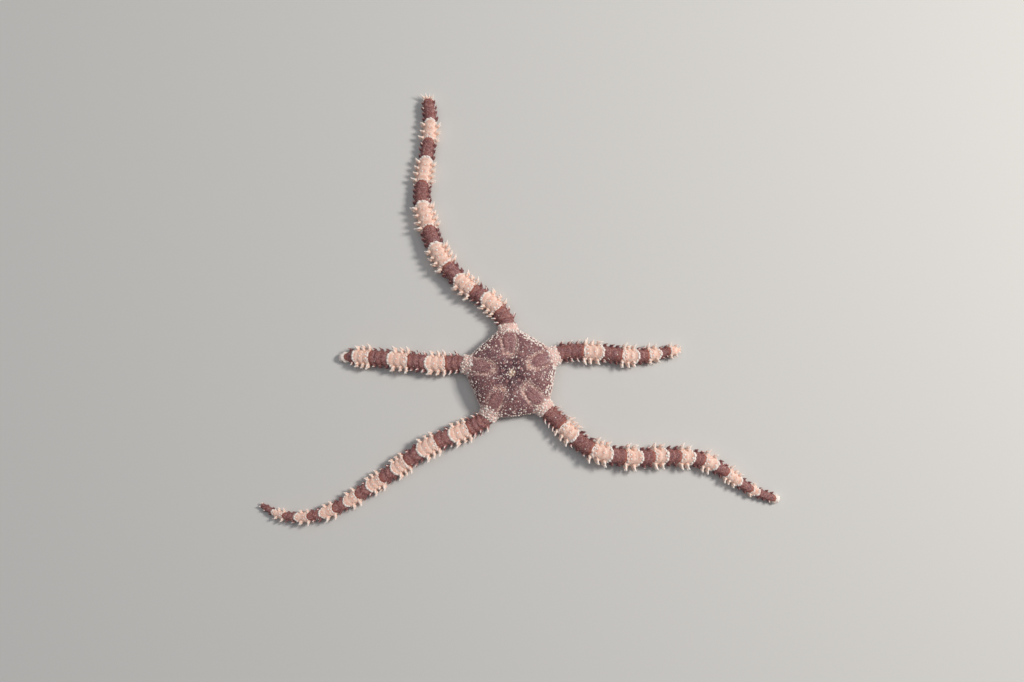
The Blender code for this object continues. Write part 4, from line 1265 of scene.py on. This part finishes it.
# %% Colours
BLACK = (0, 0, 0, 1)
DARK = srgb(120, 68, 66)
DARK_PURPLE = srgb(94, 56, 68)
DARK_RED = srgb(146, 84, 76)
DARK_EDGE = srgb(194, 150, 144)
DARK_GROOVE = srgb(70, 38, 40)
PEACH = srgb(254, 217, 198)
PEACH_PINK = srgb(238, 190, 172)
PEACH_DEEP = srgb(232, 168, 144)
ORANGE = srgb(212, 134, 104)
RUST = srgb(176, 92, 66)
CREAM = srgb(246, 222, 206)
WHITE = srgb(252, 242, 234)
DISC_DARK = srgb(132, 92, 98)
DISC_RED = srgb(154, 106, 104)
DISC_SHADE = srgb(74, 46, 56)
DISC_CENTRE = srgb(214, 180, 146)
PLATE_RED = srgb(146, 92, 90)
PLATE_RIM_SHADE = srgb(126, 78, 80)
PLATE_RIM = srgb(180, 128, 120)
PLATE_SPOT = srgb(190, 140, 132)
PINK = srgb(244, 208, 200)
BELLY_PINK = srgb(214, 178, 160)
BONE = srgb(232, 204, 184)
BONE_EDGE = srgb(196, 150, 132)
print("maroon as linear light:", [round(v, 3) for v in DARK[:3]])


# %% Finish of the arm skin
def arm_finish():
    """Colour: a ramp over the plate's radius for dark joints and one along the band for pale ones."""
    f = Finish("arm_skin", 0.42, 0.12)
    plate = f.grey(f.mask("plate"), 0.0, 1.5)
    spread = f.noise(0.55, 4.0)
    fine = f.noise(0.14, 2.0)
    pale = f.ramp(f.mask("share"), (
        (0.0, WHITE), (0.07, CREAM), (0.17, PEACH), (0.8, PEACH), (0.9, CREAM), (1.0, WHITE),
    ))
    lines = f.ramp(plate, (
        (0.0, BLACK), (0.64, BLACK), (0.72, (1, 1, 1, 1)), (0.8, (0.1, 0.1, 0.1, 1)), (1.0, BLACK),
    ))
    inner = f.grey(f.mask("share"), 0.84, 0.94, 0.0, 1.0)
    pale = f.mix(f.times(inner, f.grey(plate, 0.12, 0.5, 0.0, 0.85)), pale, PEACH_DEEP)
    pale = f.mix(f.times(inner, f.times(lines, 0.3)), pale, ORANGE)
    pale = f.mix(f.times(inner, f.grey(spread, 0.48, 0.66, 0.6)), pale, PEACH_DEEP)
    pale = f.mix(f.grey(fine, 0.5, 0.66, 0.6), pale, WHITE)
    dark = f.mix(f.grey(spread, 0.4, 0.66), DARK, DARK_RED)
    dark = f.mix(f.grey(f.noise(1.3), 0.5, 0.62, 0.5), dark, DARK_PURPLE)
    dark = f.mix(f.times(lines, 0.3), dark, DARK_GROOVE)
    dark = f.mix(f.times(f.mask("side"), 0.45), dark, DARK_PURPLE)
    dark = f.mix(f.grey(f.noise(0.36), 0.48, 0.62, 0.55), dark, DARK_EDGE)
    dark = f.mix(f.grey(fine, 0.52, 0.64, 0.7), dark, DARK_EDGE)
    dark = f.mix(f.times(f.mask("ember"), 0.75), dark, RUST)
    skin = f.mix(f.mask("pale"), dark, pale)
    f.colour(f.mix(f.times(f.mask("belly"), 0.75), skin, BELLY_PINK))
    f.feed(f.shader.inputs["Roughness"], f.grey(fine, 0.3, 0.7, 0.62, 0.46))
    f.bump(f.noise(0.14, 4.0, 0.6), 0.7, 0.06)
    return f.material


def arm_spine_finish():
    """Colour: the joint's colour at the root to cream or white at the tip, whiter where the tone is high."""
    f = Finish("arm_spines", 0.38, 0.15)
    height, tone = f.mask("height"), f.mask("tone")
    pale = f.ramp(height, ((0.0, PEACH), (0.22, PEACH), (0.5, CREAM), (1.0, WHITE)))
    pale = f.mix(f.times(f.grey(tone, 0.5, 1.0, 0.8), f.grey(height, 0.2, 0.7)), pale, WHITE)
    dark = f.ramp(height, ((0.0, DARK_PURPLE), (0.6, DARK), (1.0, DARK_EDGE)))
    tipped = f.ramp(height, ((0.0, DARK_RED), (0.25, DARK_EDGE), (0.45, PINK), (0.65, WHITE), (1.0, WHITE)))
    dark = f.mix(f.grey(tone, 0.3, 0.7), dark, tipped)
    skin = f.mix(f.mask("pale"), dark, pale)
    f.colour(f.mix(f.grey(f.noise(0.25), 0.45, 0.7, 0.25), skin, PEACH_DEEP))
    f.bump(f.noise(0.1), 0.3, 0.03)
    return f.material


def arm_bead_finish():
    """Colour, by each bead's tone: peach to white in the pale bands, maroon to white in the dark ones."""
    f = Finish("arm_beads", 0.4, 0.15)
    tone = f.mask("tone")
    dark = f.ramp(tone, ((0.0, DARK), (0.4, DARK_RED), (0.7, CREAM), (1.0, WHITE)))
    pale = f.ramp(tone, ((0.0, PEACH), (0.4, PEACH_PINK), (1.0, WHITE)))
    skin = f.mix(f.mask("pale"), dark, pale)
    f.colour(f.mix(f.grey(f.noise(0.2), 0.45, 0.7, 0.3), skin, PEACH_DEEP))
    f.bump(f.noise(0.09, 2.0), 0.25, 0.02)
    return f.material


# %% Finish of the disc
def disc_finish():
    """Colour: maroon and purple patches, pink on the petals' outline and the sleeves, cream in the middle."""
    f = Finish("disc_skin", 0.45, 0.1)
    broad, fine = f.noise(1.6, 4.0), f.noise(0.3)
    skin = f.mix(f.grey(broad, 0.42, 0.62), DISC_DARK, DISC_RED)
    skin = f.mix(f.grey(fine, 0.48, 0.7, 0.7), skin, DISC_SHADE)
    skin = f.mix(f.times(f.mask("heart"), 0.7), skin, DISC_SHADE)
    pink = f.mix(f.grey(fine, 0.35, 0.65, 0.5), PINK, PEACH_DEEP)
    peach = f.mix(f.grey(fine, 0.4, 0.6), CREAM, PEACH_DEEP)
    patches = f.grey(f.noise(0.7, 4.0), 0.42, 0.58, 0.9, 0.15)
    skin = f.mix(f.times(f.mask("outline"), patches), skin, peach)
    skin = f.mix(f.times(f.mask("sleeve"), 0.95), skin, pink)
    skin = f.mix(f.times(f.mask("centre"), 0.8), skin, DISC_CENTRE)
    skin = f.mix(f.times(f.mask("belly"), 0.7), skin, BELLY_PINK)
    f.colour(f.mix(f.mask("mouth"), skin, DISC_SHADE))
    f.bump(f.cells(0.32), 0.6, 0.08)
    return f.material


def plate_finish():
    """Colour: bare plates are a smooth dark red that is paler at the edge, with fine growth lines."""
    f = Finish("bare_plates", 0.36, 0.08)
    edge = f.ramp(f.mask("edge"), (
        (0.0, DISC_RED), (0.55, PLATE_RED), (0.82, PLATE_RIM_SHADE), (1.0, PLATE_RIM),
    ))
    skin = f.mix(f.grey(f.noise(0.35, 4.0), 0.4, 0.66, 0.5), edge, DISC_SHADE)
    skin = f.mix(f.grey(f.cells(0.4), 0.3, 0.6, 0.35), skin, PLATE_SPOT)
    skin = f.mix(f.grey(f.noise(0.18, 2.0), 0.56, 0.64, 0.75), skin, PINK)
    f.colour(f.mix(f.times(f.mask("tone"), 0.35), skin, DISC_DARK))
    f.bump(f.noise(0.16), 0.3, 0.03)
    return f.material


def grain_finish():
    """Colour: by the grain's tone, from the dark of the skin through pink to white, paler on its crown."""
    f = Finish("disc_grains", 0.36, 0.15)
    tone = f.mask("tone")
    skin = f.ramp(tone, (
        (0.0, DISC_SHADE), (0.1, DISC_DARK), (0.22, DISC_RED), (0.48, PINK), (0.7, CREAM), (1.0, WHITE),
    ))
    skin = f.mix(f.times(f.grey(f.mask("height"), 0.3, 1.0, 0.35), tone), skin, WHITE)
    f.colour(f.mix(f.grey(f.noise(0.5), 0.45, 0.7, 0.35), skin, DISC_RED))
    f.bump(f.noise(0.08, 2.0), 0.2, 0.02)
    return f.material


def jaw_finish():
    """Colour: pale bone with a darker edge and faint blotches."""
    f = Finish("jaw_plate", 0.4, 0.15)
    edge = f.ramp(f.mask("edge"), ((0.0, BONE), (0.8, BELLY_PINK), (1.0, BONE_EDGE)))
    f.colour(f.mix(f.grey(f.noise(0.5), 0.42, 0.66, 0.5), edge, PEACH_DEEP))
    f.bump(f.noise(0.15), 0.3, 0.03)
    return f.material


FINISHES = (
    (arm_finish(), arm_skins),
    (arm_spine_finish(), spine_pieces),
    (arm_bead_finish(), bead_pieces),
    (disc_finish(), [disc]),
    (plate_finish(), [shields, round_plates]),
    (grain_finish(), [white_grains, dark_grains, lumps, under_grains, wall_grains]),
    (jaw_finish(), [papillae, oral_plates, *jaws]),
)
for finish, pieces in FINISHES:
    for piece in pieces:
        piece.data.materials.append(finish)
    print(finish.name, "is on", len(pieces), "pieces")

# %% [markdown]
# ## Floor, light and camera
# The floor is plain and pale. One broad lamp low on the right gives the soft shadows that show the relief
# of the plates, and a wide one overhead with a pale world fills them. The camera looks down on the back
# of the animal, eight degrees from straight down, from about a third of a metre.

# %% Floor and lamps
FLOOR_ACROSS = 12.0
FLOOR_BELOW = 0.02 * MM
FLOOR_GREY = srgb(214, 212, 208)
WORLD_COLOUR = (0.9, 0.93, 1.0, 1.0)
WORLD_STRENGTH = 0.22
# A lamp: name, place and size in mm, watts and colour.
LAMPS = (
    ("key", (400, 110, 380), 130, 2.5, (1.0, 0.97, 0.93)),
    ("fill", (-150, 200, 600), 600, 0.7, (0.93, 0.96, 1.0)),
)


def plain_floor():
    """A flat square just under the animal."""
    bpy.ops.mesh.primitive_plane_add(size=FLOOR_ACROSS, location=(0, 0, -FLOOR_BELOW))
    floor = bpy.context.object
    floor.name = "floor"
    material = bpy.data.materials.new("pale_floor")
    material.use_nodes = True
    shader = material.node_tree.nodes["Principled BSDF"]
    shader.inputs["Base Color"].default_value = FLOOR_GREY
    shader.inputs["Roughness"].default_value = 0.8
    floor.data.materials.append(material)


def lamp(name, place_mm, size_mm, watts, colour):
    """A square area lamp that points at the origin: tilted by atan2(level, height) and turned to face it."""
    data = bpy.data.lights.new(name, "AREA")
    data.energy = watts
    data.size = size_mm * MM
    data.color = colour
    made = bpy.data.objects.new(name, data)
    bpy.context.scene.collection.objects.link(made)
    x, y, z = np.array(place_mm) * MM
    made.location = x, y, z
    made.rotation_euler = math.atan2(math.hypot(x, y), z), 0, math.atan2(y, x) + math.pi / 2


plain_floor()
for setting in LAMPS:
    lamp(*setting)
world = bpy.data.worlds.new("studio")
world.use_nodes = True
world.node_tree.nodes["Background"].inputs["Color"].default_value = WORLD_COLOUR
world.node_tree.nodes["Background"].inputs["Strength"].default_value = WORLD_STRENGTH
bpy.context.scene.world = world
bpy.context.scene.view_settings.view_transform = "Standard"
print("lamps:", [name for name, *_ in LAMPS])

# %% Camera
TILT = math.radians(8)
CAMERA_AWAY = 312.889
AIM_ABOVE_DISC = 7.5945
view_data = bpy.data.cameras.new("camera")
view_data.lens = 50
view_data.sensor_width = 36
view_data.clip_start = 0.01
camera = bpy.data.objects.new("camera", view_data)
bpy.context.scene.collection.objects.link(camera)
aim = np.array((DISC_X, DISC_Y + AIM_ABOVE_DISC, 0.0))
camera.location = (aim + np.array((0, -math.sin(TILT), math.cos(TILT))) * CAMERA_AWAY) * MM
camera.rotation_euler = (TILT, 0, 0)
bpy.context.scene.camera = camera
print("camera, mm:", np.round(np.array(camera.location) / MM, 1))
